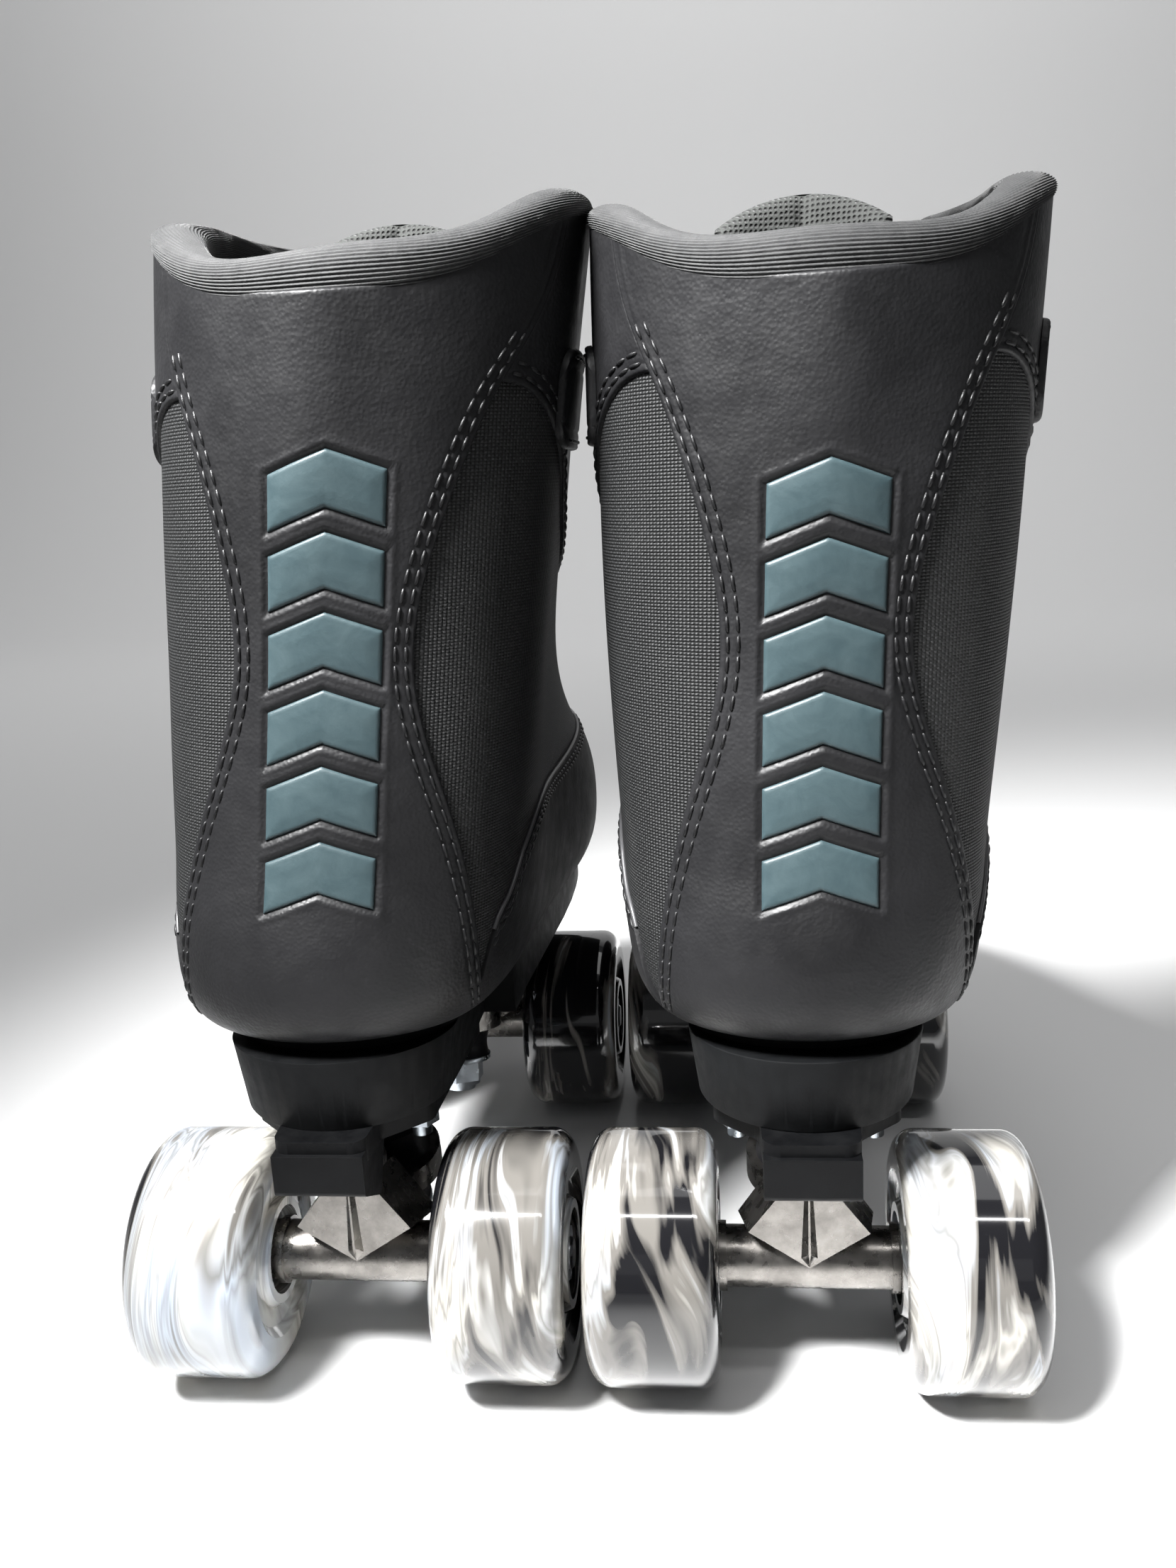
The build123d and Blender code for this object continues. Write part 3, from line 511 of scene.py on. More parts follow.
def boot_ring(side, level):
    """Points round the boot at one level, from the middle of the back towards +X."""
    height, back, front, rear_half, front_half = level
    wider = SHAFT_WIDER[side] * float(smooth((height - 130.0) / 70.0))
    rear_half, front_half = rear_half + wider, front_half + wider
    heel_round = 0.92 * rear_half
    toe_round = min(1.45 * front_half, 0.52 * (front - back - heel_round) + 14.0)
    places = [(back, 0.0)]
    for turn in map(math.radians, (30, 60, 90)):
        places.append((back + heel_round * (1.0 - math.cos(turn)), math.sin(turn)))
    start, end = back + heel_round, front - toe_round
    for part in (0.34, 0.67):
        places.append((start + part * (end - start), 1.0))
    for turn in map(math.radians, (90, 62, 32)):
        places.append((front - toe_round * (1.0 - math.cos(turn)), math.sin(turn)))
    places.append((front, 0.0))
    foot = float(smooth((170.0 - height) / 50.0))
    tilt = SOLE_TILT * (1.0 - float(smooth((height - SOLE_Z) / 53.0)))
    right, left = [], []
    for y, width in places:
        along_foot = float(smooth((y - 10.0) / 115.0))
        along_shaft = float(smooth((y - back) / (front - back)))
        forward = foot * along_foot + (1 - foot) * along_shaft
        half = (rear_half + (front_half - rear_half) * forward) * width
        swing = MEDIAL[side] * TOE_SWING[side] * foot * float(smooth((y - 60.0) / 150.0))
        middle = lean_at(side, height) + swing
        right.append((middle + half, y * math.cos(tilt), height - y * math.sin(tilt)))
        left.append((middle - half, y * math.cos(tilt), height - y * math.sin(tilt)))
    return np.array(right + left[-2:0:-1])


def closed_curve(points):
    """Smooth closed curve through points, with equal numbers of samples between them."""
    count = len(points)
    gap = np.linalg.norm(np.roll(points, -1, 0) - points, axis=1)
    matrix, right = np.zeros((count, count)), np.zeros_like(points)
    for i in range(count):
        before, after, k = gap[i - 1], gap[i], (i + 1) % count
        matrix[i, i - 1] += before
        matrix[i, i] += 2 * (before + after)
        matrix[i, k] += after
        right[i] = 6 * ((points[k] - points[i]) / after - (points[i] - points[i - 1]) / before)
    bend = np.linalg.solve(matrix, right)
    i = np.repeat(np.arange(count), PER_STATION)
    b = np.tile(np.arange(PER_STATION) / PER_STATION, count)[:, None]
    a, k, step = 1 - b, (i + 1) % count, gap[i][:, None]
    return a * points[i] + b * points[k] + ((a ** 3 - a) * bend[i] + (b ** 3 - b) * bend[k]) * step ** 2 / 6


class Skin:
    """Outside of a boot. A place on it is a height and a distance across from the middle of its back."""

    LOW, HIGH, STEP, REACH = 97.0, 300.0, 0.5, 330.0

    def __init__(self, side):
        self.side = side
        rings = np.array([closed_curve(boot_ring(side, level)) for level in BOOT_LEVELS])
        gaps = np.sqrt(((rings[1:] - rings[:-1]) ** 2).sum(2)).mean(1)
        knots = np.concatenate([[0.0], np.cumsum(gaps)])
        fine = np.linspace(0.0, knots[-1], 900)
        heights = natural_spline(knots, [level[0] for level in BOOT_LEVELS], fine)
        self.heights = np.arange(self.LOW, self.HIGH + 0.01, self.STEP)
        rows = natural_spline(knots, rings, np.interp(self.heights, heights, fine))
        loop = np.concatenate([rows, rows[:, :1]], axis=1)
        length = np.linalg.norm(np.diff(loop, axis=1), axis=2)
        self.arc = np.concatenate([np.zeros((len(rows), 1)), np.cumsum(length, axis=1)], axis=1)
        self.whole = self.arc[:, -1]
        across = np.arange(-self.REACH, self.REACH + 0.01, self.STEP)
        table = []
        for arc, row, whole in zip(self.arc, loop, self.whole):
            table.append(np.stack([np.interp(across % whole, arc, row[:, k]) for k in range(3)], axis=1))
        self.points = np.array(table)
        normal = np.cross(np.gradient(self.points, axis=1), np.gradient(self.points, axis=0))
        self.normals = normal / np.linalg.norm(normal, axis=2)[:, :, None]
        self.origin = np.array([AXLE[side].x, AXLE[side].y, 0.0])

    def look(self, table, across, height):
        """Table value between its grid points."""
        row = np.clip((height - self.LOW) / self.STEP, 0.0, len(self.heights) - 1.001)
        column = np.clip((across + self.REACH) / self.STEP, 0.0, table.shape[1] - 1.001)
        i, j = row.astype(int), column.astype(int)
        f, g = (row - i)[..., None], (column - j)[..., None]
        low = table[i, j] * (1 - g) + table[i, j + 1] * g
        high = table[i + 1, j] * (1 - g) + table[i + 1, j + 1] * g
        return low * (1 - f) + high * f

    def local(self, across, height, out=0.0):
        """Places in the skate's own millimetres, out from the surface."""
        across, height = np.broadcast_arrays(np.asarray(across, float), np.asarray(height, float))
        normal = self.look(self.normals, across, height)
        return self.look(self.points, across, height) + normal * np.broadcast_to(out, across.shape)[..., None]

    def at(self, across, height, out=0.0):
        """The same places in metres in the shared frame."""
        return self.local(across, height, out) * MM + self.origin

    def normal(self, across, height):
        """Outward directions."""
        return self.look(self.normals, np.asarray(across, float), np.asarray(height, float))

    def station(self, turn, height):
        """Distance across at a station round the ring: 0 at the back, 9 at the front, more on the -X side."""
        height = np.asarray(height, float)
        column = np.clip(np.asarray(turn, float) * PER_STATION, 0.0, self.arc.shape[1] - 1.001)
        row = np.clip((height - self.LOW) / self.STEP, 0.0, len(self.heights) - 1.001)
        i, j = row.astype(int), column.astype(int)
        f, g = row - i, column - j
        low = self.arc[i, j] * (1 - g) + self.arc[i, j + 1] * g
        high = self.arc[i + 1, j] * (1 - g) + self.arc[i + 1, j + 1] * g
        across = low * (1 - f) + high * f
        whole = np.interp(height, self.heights, self.whole)
        return np.where(np.asarray(turn) > STATIONS / 2, across - whole, across)

    def front(self, height, sign=1.0):
        """Distance across from the back to the front's middle, on the +X side or the -X side."""
        half = np.interp(height, self.heights, self.arc[:, STATIONS // 2 * PER_STATION])
        return half if sign > 0 else half - np.interp(height, self.heights, self.whole)

    def collar(self, across):
        """Height of the shell's top edge."""
        line = line_through(*COLLAR_LINE)
        height = np.full(np.shape(across), 265.0)
        for _ in range(8):
            height = line(self.local(across, height)[..., 1]) + COLLAR_LIFT[self.side]
        return height


SKIN = {side: Skin(side) for side in SIDES}

# ---------------------------------------------------------------- panels and stitches

EDGE_STEPS = (0.0, 0.12, 0.35, 0.7, 1.2, 1.6, 1.9, 2.2, 2.6, 3.3, 3.9, 4.2, 4.5, 5.0, 6.0)
EDGE_ROUND = 0.75
STITCH_ROWS = (1.9, 4.2)
STITCH_PITCH, STITCH_LENGTH, STITCH_RADIUS = 4.2, 3.5, 0.46
GROOVE_DEPTH, GROOVE_HALF = 0.24, 0.42
PANEL = 1.0
PANEL_FOOT = -0.25
# Place along, width and lift of each ring of one stitch, as parts of its half length and radius.
STITCH_RINGS = ((-1.0, 0.3, -0.5), (-0.82, 0.85, -0.1), (0.0, 1.0, 0.12),
                (0.82, 0.85, -0.1), (1.0, 0.3, -0.5))
STITCH_SIDES = 6


def edge_spread(length, pitch):
    """Fractions along a length, close together near both ends."""
    near = [step for step in EDGE_STEPS if step < length / 2 - pitch / 2]
    inner = length - 2 * near[-1]
    count = max(2, int(round(inner / pitch)))
    middle = near[-1] + np.linspace(0.0, inner, count + 1)
    return np.concatenate([near[:-1], middle, length - np.array(near[:-1][::-1])]) / length


def edge_profile(distance, thickness, stitched):
    """Height of a panel at a distance in from its edge: a rounded edge and the grooves of its stitches."""
    rise = 1.0 - np.clip(distance / EDGE_ROUND, 0.0, 1.0)
    height = thickness * np.sqrt(np.clip(1.0 - rise * rise, 0.0, 1.0))
    if stitched:
        for row in STITCH_ROWS:
            height = height - GROOVE_DEPTH * np.exp(-((distance - row) / GROOVE_HALF) ** 2)
    return height


def sheet(name, skin, across, height, outside, inside, material, body, replaces=()):
    """Closed sheet on a boot, between two distances out from the boot's surface."""
    points, faces = shell(skin.at(across, height, outside), skin.at(across, height, inside))
    put(name, points, faces, material, body, replaces, uv=two_sided(across, height))


def level_edge(height):
    """Edge of a panel that stays at one height."""
    return lambda across: np.full(np.shape(across), height)


def panel(name, side, material, left, right, low, high, size, sewn, pitch=2.0, thickness=PANEL,
          relief=None, shear=None):
    """Closed leather panel on the boot, between two edges across and two edges up.

    size is its rough width, its height and the height of its middle, and sewn names its stitched edges.
    """
    width, tall, middle = size
    u, v = np.meshgrid(edge_spread(width, pitch), edge_spread(tall, pitch))
    height = np.full(u.shape, middle)
    for _ in range(8):
        across = left(height) + (right(height) - left(height)) * u
        height = low(across) + (high(across) - low(across)) * v
    if shear:
        height = height + shear(across, height)
    span, rise = right(height) - left(height), high(across) - low(across)
    out = edge_profile(u * span, thickness, "l" in sewn)
    out = np.minimum(out, edge_profile((1 - u) * span, thickness, "r" in sewn))
    out = np.minimum(out, edge_profile(v * rise, thickness, "b" in sewn))
    out = np.minimum(out, edge_profile((1 - v) * rise, thickness, "t" in sewn))
    if relief:
        out = out + relief(across, height)
    sheet(name, SKIN[side], across, height, out, PANEL_FOOT, material, side + "_boot")


def stitches(name, lines, material, body):
    """Short raised stitches along lines; each line is (points, normals) in metres."""
    points, faces = [], []
    for places, normals in lines:
        gaps = np.linalg.norm(np.diff(places, axis=0), axis=1)
        run = np.concatenate([[0.0], np.cumsum(gaps)])
        count = int(run[-1] / (STITCH_PITCH * MM))
        for middle in (np.arange(count) + 0.5) * STITCH_PITCH * MM:
            before, after = (np.array([np.interp(middle + step * MM, run, places[:, k]) for k in range(3)])
                             for step in (-1.0, 1.0))
            normal = np.array([np.interp(middle, run, normals[:, k]) for k in range(3)])
            along = (after - before) / np.linalg.norm(after - before)
            sideways = np.cross(normal, along)
            centre = (before + after) / 2
            faces += tube_faces(len(STITCH_RINGS), STITCH_SIDES, len(points))
            for place, wide, lift in STITCH_RINGS:
                at = centre + along * place * STITCH_LENGTH / 2 * MM + normal * lift * STITCH_RADIUS * MM
                for k in range(STITCH_SIDES):
                    turn = 2 * math.pi * k / STITCH_SIDES
                    step = sideways * math.cos(turn) + normal * math.sin(turn)
                    points.append(at + step * wide * STITCH_RADIUS * MM)
    put(name, points, faces, material, body, smooth_below=80.0)


def line_on(skin, across, height, out):
    """Points and normals of a line drawn on the boot."""
    return skin.at(across, height, out), skin.normal(across, height)


# ---------------------------------------------------------------- boot

SHELL_THICK = 3.1
EYESTAY_WIDE = 17.0
LINING_FROM, LINING_TO, LINING_ROW = -3.2, -5.2, 20
BACKSTAY_CENTRE = {
    "left": lambda height: 2.5 + 5.0 * smooth((np.asarray(height, float) - 236.0) / 40.0),
    "right": lambda height: 3.6 - 3.4 * smooth((np.asarray(height, float) - 105.0) / 95.0),
}
RIDGE = {"left": -0.5, "right": 3.5}
BACKSTAY_HALF = line_through(
    (97, 43.0), (118, 40.3), (135, 35.8), (150, 30.6), (170, 23.2), (184, 20.3), (195, 20.6),
    (212, 24.5), (228, 30.3), (240, 36.0), (257, 45.5), (276, 51.0),
)
CUFF_LOW = line_through(
    (0, 242.0), (30, 242.0), (40, 242.5), (52, 238.0), (65, 228.0), (80, 214.0),
    (100, 200.0), (125, 192.0), (170, 189.0),
)
OVERLAY_TOP = line_through(
    (2.1, 99.0), (2.3, 116.0), (2.65, 125.0), (3.0, 133.5), (3.3, 139.0), (3.7, 141.0), (4.3, 140.0),
    (5.0, 139.0), (6.0, 140.5), (7.5, 145.0), (9.0, 150.0),
)
OVERLAY_START = 2.1
MOTIF_START = {"left": 131.0, "right": 130.0}
MOTIF_END = {"left": 231.0, "right": 224.0}
MOTIF_CENTRE = {"left": 3.5, "right": 1.9}
MOTIF_COUNT, MOTIF_HALF, MOTIF_SLOPE, MOTIF_BAND = 6, 12.4, 0.38, 0.71
MOTIF_RISE = 2.3
MOTIF_EDGE = np.array([0.0, 0.15, 0.4, 0.8])


def motif_pitch(side):
    """Distance from one chevron to the next."""
    return (MOTIF_END[side] - MOTIF_START[side]) / MOTIF_COUNT


def chevron_depth(side, across, height):
    """How far a place is outside the nearest chevron of the motif, negative inside."""
    pitch = motif_pitch(side)
    aside = np.abs(across - MOTIF_CENTRE[side])
    along = height + MOTIF_SLOPE * aside - MOTIF_START[side] - MOTIF_RISE
    number = np.clip(np.floor(along / pitch), 0, MOTIF_COUNT - 1)
    off = np.abs(along - (number + 0.5) * pitch) - MOTIF_BAND * pitch / 2
    return np.maximum(off, aside - MOTIF_HALF)


def ridge(side, across, height):
    """Low soft ridge up the back, which splits it into a lit half and a shaded half."""
    return 1.9 * np.exp(-((across - RIDGE[side]) / 9.5) ** 2) * smooth((height - 190.0) / 60.0)


def backstay_relief(side):
    """Grooves round the chevrons and the low ridge down the middle of the back."""

    def relief(across, height):
        depth = chevron_depth(side, across, height)
        groove = -0.55 * np.exp(-((depth - 0.25) / 0.5) ** 2)
        groove = np.where(depth < 0.2, -0.55, groove)
        welt = 0.22 * np.exp(-((depth - 1.5) / 0.7) ** 2)
        return groove + welt + ridge(side, across, height)
    return relief


def motif_shear(side):
    """Tips the panel's rows so that they follow the chevrons."""

    def shear(across, height):
        aside = np.abs(across - MOTIF_CENTRE[side])
        tip = np.where(aside < MOTIF_HALF, aside, np.clip(MOTIF_HALF - (aside - MOTIF_HALF) * 2.0, 0.0, None))
        fade = smooth((height - 112.0) / 18.0) * smooth((252.0 - height) / 16.0)
        return -MOTIF_SLOPE * tip * fade
    return shear


def make_motif(side, material):
    """Row of pillowed chevrons in their grooves, the generic replacement for the marks on the boot's back."""
    skin, pitch = SKIN[side], motif_pitch(side)
    points, faces = [], []
    half_band = MOTIF_BAND * pitch / 2
    s = np.concatenate([-MOTIF_HALF + MOTIF_EDGE, np.linspace(-11.2, 11.2, 45),
                        MOTIF_HALF - MOTIF_EDGE[::-1]])
    t = np.concatenate([-half_band + MOTIF_EDGE, np.linspace(-half_band + 1.3, half_band - 1.3, 20),
                        half_band - MOTIF_EDGE[::-1]])
    aside, along = np.meshgrid(s, t)
    inside = np.minimum(MOTIF_HALF - np.abs(aside), half_band - np.abs(along))
    rise = 1.0 - np.clip(inside / 1.0, 0.0, 1.0)
    out = PANEL - 0.75 + 0.85 * np.sqrt(np.clip(1.0 - rise ** 2, 0.0, 1.0)) + 0.25 * smooth(inside / 4.0)
    for number in range(MOTIF_COUNT):
        middle = MOTIF_START[side] + MOTIF_RISE + (number + 0.5) * pitch
        height = middle + along - MOTIF_SLOPE * np.abs(aside)
        across = MOTIF_CENTRE[side] + aside
        outer = skin.at(across, height, out + ridge(side, across, height))
        part, sides = shell(outer, skin.at(across, height, 0.1))
        faces += [tuple(i + len(points) for i in face) for face in sides]
        points += list(part)
    return put(side + "_back_motif", points, faces, material, side + "_boot", smooth_below=60.0)


def base_shell(side, mats):
    """Nylon shell of the boot: a closed lower part and an upper part open at the throat."""
    skin, body = SKIN[side], side + "_boot"
    turns = np.linspace(0.0, STATIONS, 361)[:-1]
    levels = np.concatenate([np.linspace(97.2, 104.0, 8), np.linspace(106.0, THROAT_Z, 24)])
    turn, height = np.meshgrid(turns, levels)
    across = skin.station(turn, height)
    outer, inner = skin.at(across, height, 0.0), skin.at(across, height, -SHELL_THICK)
    rows, columns = turn.shape
    count = rows * columns
    faces = grid_faces(rows, columns, wrap=True) + grid_faces(rows, columns, count, wrap=True, flip=True)
    for j in range(columns):
        k = (j + 1) % columns
        faces.append((k, j, j + count, k + count))
        top = (rows - 1) * columns
        faces.append((top + j, top + k, top + k + count, top + j + count))
    points = np.concatenate([outer.reshape(-1, 3), inner.reshape(-1, 3)])
    put(side + "_lower_shell", points, faces, mats["nylon"], body, (side + "_upper",),
        uv=two_sided(across, height))
    floor_ring = skin.at(skin.station(turns, 97.3), 97.3, -0.05)
    middle = floor_ring.mean(axis=0)
    cap = np.concatenate([floor_ring, floor_ring + [0, 0, 0.003], [middle], [middle + [0, 0, 0.003]]])
    n = len(turns)
    faces = [((j + 1) % n, j, 2 * n) for j in range(n)]
    faces += [(n + j, n + (j + 1) % n, 2 * n + 1) for j in range(n)]
    faces += [(j, (j + 1) % n, n + (j + 1) % n, n + j) for j in range(n)]
    put(side + "_shell_bottom", cap, faces, mats["leather"], body)
    part, level = np.meshgrid(np.linspace(0.0, 1.0, 300), np.linspace(0.0, 1.0, 60))
    height = THROAT_Z - 0.4 + (268.0 - THROAT_Z) * level
    for _ in range(6):
        start, end = skin.front(height, -1) + THROAT_HALF, skin.front(height) - THROAT_HALF
        across = start + (end - start) * part
        height = THROAT_Z - 0.4 + (skin.collar(across) + 1.0 - THROAT_Z) * level
    sheet(side + "_upper_shell", skin, across, height, 0.0, -SHELL_THICK, mats["nylon"], body)
    across, height = across[LINING_ROW:], height[LINING_ROW:]
    sheet(side + "_lining", skin, across, height, LINING_FROM, LINING_TO, mats["mesh"], body)


def make_backstay(side, mats):
    """Smooth leather panel up the back, waisted, sewn down both sides with two rows of stitches."""
    skin, body, centre = SKIN[side], side + "_boot", BACKSTAY_CENTRE[side]
    left = lambda height: centre(height) - BACKSTAY_HALF(height)
    right = lambda height: centre(height) + BACKSTAY_HALF(height)
    panel(side + "_backstay", side, mats["leather"], left, right, level_edge(97.6),
          lambda a: skin.collar(a) + 1.5, (62.0, 160.0, 190.0), "lr", pitch=0.62,
          relief=backstay_relief(side), shear=motif_shear(side))
    lines = []
    heights = np.linspace(101.0, 256.0, 320)
    slope = np.gradient(BACKSTAY_HALF(heights), heights)
    for row in STITCH_ROWS:
        for sign in (-1.0, 1.0):
            across = centre(heights) + sign * (BACKSTAY_HALF(heights) - row * np.sqrt(1 + slope ** 2))
            keep = heights < skin.collar(across) - 1.0
            lines.append(line_on(skin, across[keep], heights[keep], PANEL - 0.02))
    stitches(side + "_backstay_stitches", lines, mats["thread"], body)
    make_motif(side, mats["motif"])


def make_cuff(side, mats):
    """Leather cuff round the top of the shaft on each side of the backstay, with an arched sewn edge."""
    skin, body, centre = SKIN[side], side + "_boot", BACKSTAY_CENTRE[side]
    lines = []
    for sign, name in ((1.0, "right"), (-1.0, "left")):
        back = lambda h, s=sign: centre(h) + s * (BACKSTAY_HALF(h) - 1.0)
        front = lambda h, s=sign: skin.front(h, s) - s * (THROAT_HALF + 15.0)
        low = lambda a: CUFF_LOW(np.abs(a - centre(240.0)))
        left, right = (back, front) if sign > 0 else (front, back)
        panel(f"{side}_cuff_{name}", side, mats["leather"], left, right, low, lambda a: skin.collar(a) + 1.0,
              (95.0, 60.0, 245.0), "b", pitch=2.2, thickness=PANEL * 0.95)
        reach = np.linspace(38.0, 120.0, 240)
        slope = np.gradient(CUFF_LOW(reach), reach)
        for row in STITCH_ROWS:
            across = centre(240.0) + sign * reach
            height = CUFF_LOW(reach) + row * np.sqrt(1 + slope ** 2)
            keep = np.abs(across - centre(height)) > BACKSTAY_HALF(height) + 0.5
            lines.append(line_on(skin, across[keep], height[keep], PANEL - 0.05))
    stitches(side + "_cuff_stitches", lines, mats["thread"], body)


def make_eyestay(side, mats):
    """Leather strips with the eyelets, either side of the throat, joined below it."""
    skin, body = SKIN[side], side + "_boot"
    lines = []
    inner, outer = THROAT_HALF, THROAT_HALF + EYESTAY_WIDE
    for sign, name in ((1.0, "right"), (-1.0, "left")):
        a = lambda h, s=sign: skin.front(h, s) - s * outer
        b = lambda h, s=sign: skin.front(h, s) - s * inner
        left, right = (a, b) if sign > 0 else (b, a)
        panel(f"{side}_eyestay_{name}", side, mats["leather"], left, right, level_edge(148.0),
              level_edge(270.0), (17.0, 120.0, 210.0), "lr")
        heights = np.linspace(152.0, 266.0, 200)
        across = skin.front(heights, sign) - sign * (outer - STITCH_ROWS[0])
        lines.append(line_on(skin, across, heights, PANEL - 0.02))
    start = lambda h: skin.front(h) - outer
    end = lambda h: skin.front(h) + outer
    panel(side + "_vamp_bridge", side, mats["leather"], start, end, level_edge(138.0), level_edge(151.6),
          (60.0, 13.0, 145.0), "b", pitch=1.6)
    stitches(side + "_eyestay_stitches", lines, mats["thread"], body)


def make_overlay(side, mats):
    """Leather overlay round the forefoot and toe, with a light piping line along its top edge."""
    skin, body = SKIN[side], side + "_boot"
    edge = lambda turn: OVERLAY_TOP(np.minimum(turn, STATIONS - turn))
    first, last, bottom = OVERLAY_START, STATIONS - OVERLAY_START, 97.5
    turn, v = np.meshgrid(np.linspace(first, last, 420), edge_spread(44.0, 2.4))
    height = bottom + (edge(turn) - bottom) * v
    across = skin.station(turn, height)
    length = (edge(turn) - bottom) * 1.15
    out = np.minimum(edge_profile((1 - v) * length, PANEL, True),
                     edge_profile(v * length + 0.2, PANEL, False))
    for past_end in (turn - first, last - turn):
        out = np.minimum(out, edge_profile(past_end * 24.0 + 0.05, PANEL, False))
    sheet(side + "_forefoot_overlay", skin, across, height, out, -0.2, mats["toe"], body)
    turns = np.linspace(first + 0.25, last - 0.25, 420)
    lines = []
    for row in STITCH_ROWS:
        height = edge(turns) - row / 1.1
        lines.append(line_on(skin, skin.station(turns, height), height, PANEL - 0.03))
    stitches(side + "_overlay_stitches", lines, mats["thread"], body)
    height = edge(turns) + 0.5
    path = skin.at(skin.station(turns, height), height, 0.35)
    cord_line(side + "_piping", path, 0.55, mats["piping"], body)


def cord_line(name, path, radius, material, body, flat=1.0, replaces=(), normals=None, around=8):
    """Round or flat bar swept along a path in metres."""
    path = np.asarray(path)
    along = np.gradient(path, axis=0)
    along /= np.linalg.norm(along, axis=1)[:, None]
    if normals is None:
        normals = np.tile([0.0, 0.0, 1.0], (len(path), 1))
    sideways = np.cross(normals, along)
    sideways /= np.linalg.norm(sideways, axis=1)[:, None]
    normals = np.cross(along, sideways)
    points = []
    for at, aside, normal in zip(path, sideways, normals):
        for k in range(around):
            turn = 2 * math.pi * k / around
            points.append(at + (aside * math.cos(turn) * flat + normal * math.sin(turn)) * radius * MM)
    put(name, points, tube_faces(len(path), around), material, body, replaces, smooth_below=70.0)


ROLL_SECTION = ((0.2, -1.5), (1.1, 0.8), (1.5, 4.0), (0.6, 8.2), (-2.6, 11.0), (-6.6, 10.6), (-9.6, 7.0),
                (-10.6, 1.5), (-10.2, -6.0), (-8.6, -15.0), (-6.0, -24.0))
ROLL_BACK = ((-5.2, -24.0), (-3.4, -12.0), (-3.3, -1.5))
ROLL_MIDDLE = np.array([-4.5, 2.0])
ROLL_END = 33.0
RIB_PITCH, RIB_DEPTH = 0.95, 0.17


def make_collar(side, material):
    """Padded roll on the shell's edge, ribbed along its length, with the padding below it inside."""
    skin = SKIN[side]
    section = np.array(ROLL_SECTION)
    run = np.concatenate([[0.0], np.cumsum(np.linalg.norm(np.diff(section, axis=0), axis=1))])
    s = np.arange(0.0, run[-1], RIB_PITCH / 5.0)
    line = natural_spline(run, section, s)
    tangent = np.gradient(line, axis=0)
    tangent /= np.linalg.norm(tangent, axis=1)[:, None]
    outward = np.stack([tangent[:, 1], -tangent[:, 0]], axis=1)
    part = np.linspace(0.0, 1.0, 260)
    start, end = skin.front(265.0, -1) + ROLL_END, skin.front(265.0) - ROLL_END
    across = start + (end - start) * part
    edge = skin.collar(across)
    near_end = np.minimum(across - start, end - across)
    full = np.sqrt(np.clip(1.0 - (1.0 - np.clip(near_end / 7.0, 0.02, 1.0)) ** 2, 0.0, 1.0))
    at_back = np.exp(-((across - BACKSTAY_CENTRE[side](262.0)) / 33.0) ** 2)
    size = 0.42 + 0.46 * at_back
    climb = (edge - edge.min()) * 0.35
    rows = []
    for k in range(len(across)):
        rib = RIB_DEPTH * np.sin(2 * math.pi * (s + climb[k]) / RIB_PITCH)
        shape = line * [1.0, size[k]] - outward * rib[:, None]
        shape = ROLL_MIDDLE + (shape - ROLL_MIDDLE) * full[k]
        back = ROLL_MIDDLE + (np.array(ROLL_BACK) * [1.0, size[k]] - ROLL_MIDDLE) * full[k]
        rows.append(np.concatenate([shape, back]))
    rows = np.array(rows)
    grid = skin.at(across[:, None] + 0 * rows[..., 0], edge[:, None] + rows[..., 1], rows[..., 0])
    piece = put(side + "_collar_roll", grid.reshape(-1, 3), tube_faces(*rows.shape[:2]), material,
                side + "_boot", (side + "_collar_pad",), smooth_below=75.0)


TONGUE_SHIFT = {"left": 11.0, "right": 0.0}


def make_tongue(side, material):
    """Padded mesh tongue with a crease down its inside."""
    skin = SKIN[side]
    half, low, top = 27.5, 147.0, 290.0
    aside, level = np.meshgrid(np.linspace(-1.0, 1.0, 90), np.linspace(0.0, 1.0, 170))
    crown = top - 8.0 * aside ** 2
    height = low + (crown - low) * level
    edge = np.minimum((1 - np.abs(aside)) * half, (1 - level) * (top - low))
    full = np.sqrt(np.clip(1.0 - (1.0 - np.clip(edge / 5.0, 0.0, 1.0)) ** 2, 0.0, 1.0))
    across = skin.front(height) + TONGUE_SHIFT[side] * smooth((height - 220.0) / 60.0) + aside * half
    crease = 1.3 * np.exp(-(aside * half / 2.2) ** 2)
    outer = skin.at(across, height, -6.5 + 2.4 * full)
    inner = skin.at(across, height, -6.7 - (2.8 + 0.5 * smooth(np.abs(aside) * 3)) * full + crease)
    points, faces = shell(outer, inner)
    piece = put(side + "_tongue_pad", points, faces, material, side + "_boot",
                (side + "_tongue",), uv=two_sided(aside * half, height))


def make_insole(side, material):
    """Footbed with a slightly raised rim."""
    skin = SKIN[side]
    turns = np.linspace(0.0, STATIONS, 181)[:-1]
    rim = skin.at(skin.station(turns, 102.6), 102.6, -4.2)
    spine = rim.copy()
    spine[:, 0] = rim[:, 0].mean()
    spine[:, 1] = np.clip(rim[:, 1], AXLE_Y + 20 * MM, AXLE_Y + 185 * MM)
    rings = []
    for part in np.linspace(0, 1, 14):
        rings.append(rim + (spine - rim) * part + [0, 0, (1.2 * (1 - part) ** 3 - 0.8) * MM])
    top = np.array(rings)
    bottom = np.array([rings[0] - [0, 0, 2.2 * MM], rings[-1] - [0, 0, 2.0 * MM]])
    grid = np.concatenate([bottom[::-1], top])
    faces = grid_faces(len(grid), len(turns), wrap=True, flip=True)
    put(side + "_footbed", grid.reshape(-1, 3), faces, material, side + "_boot",
        (side + "_insole",))


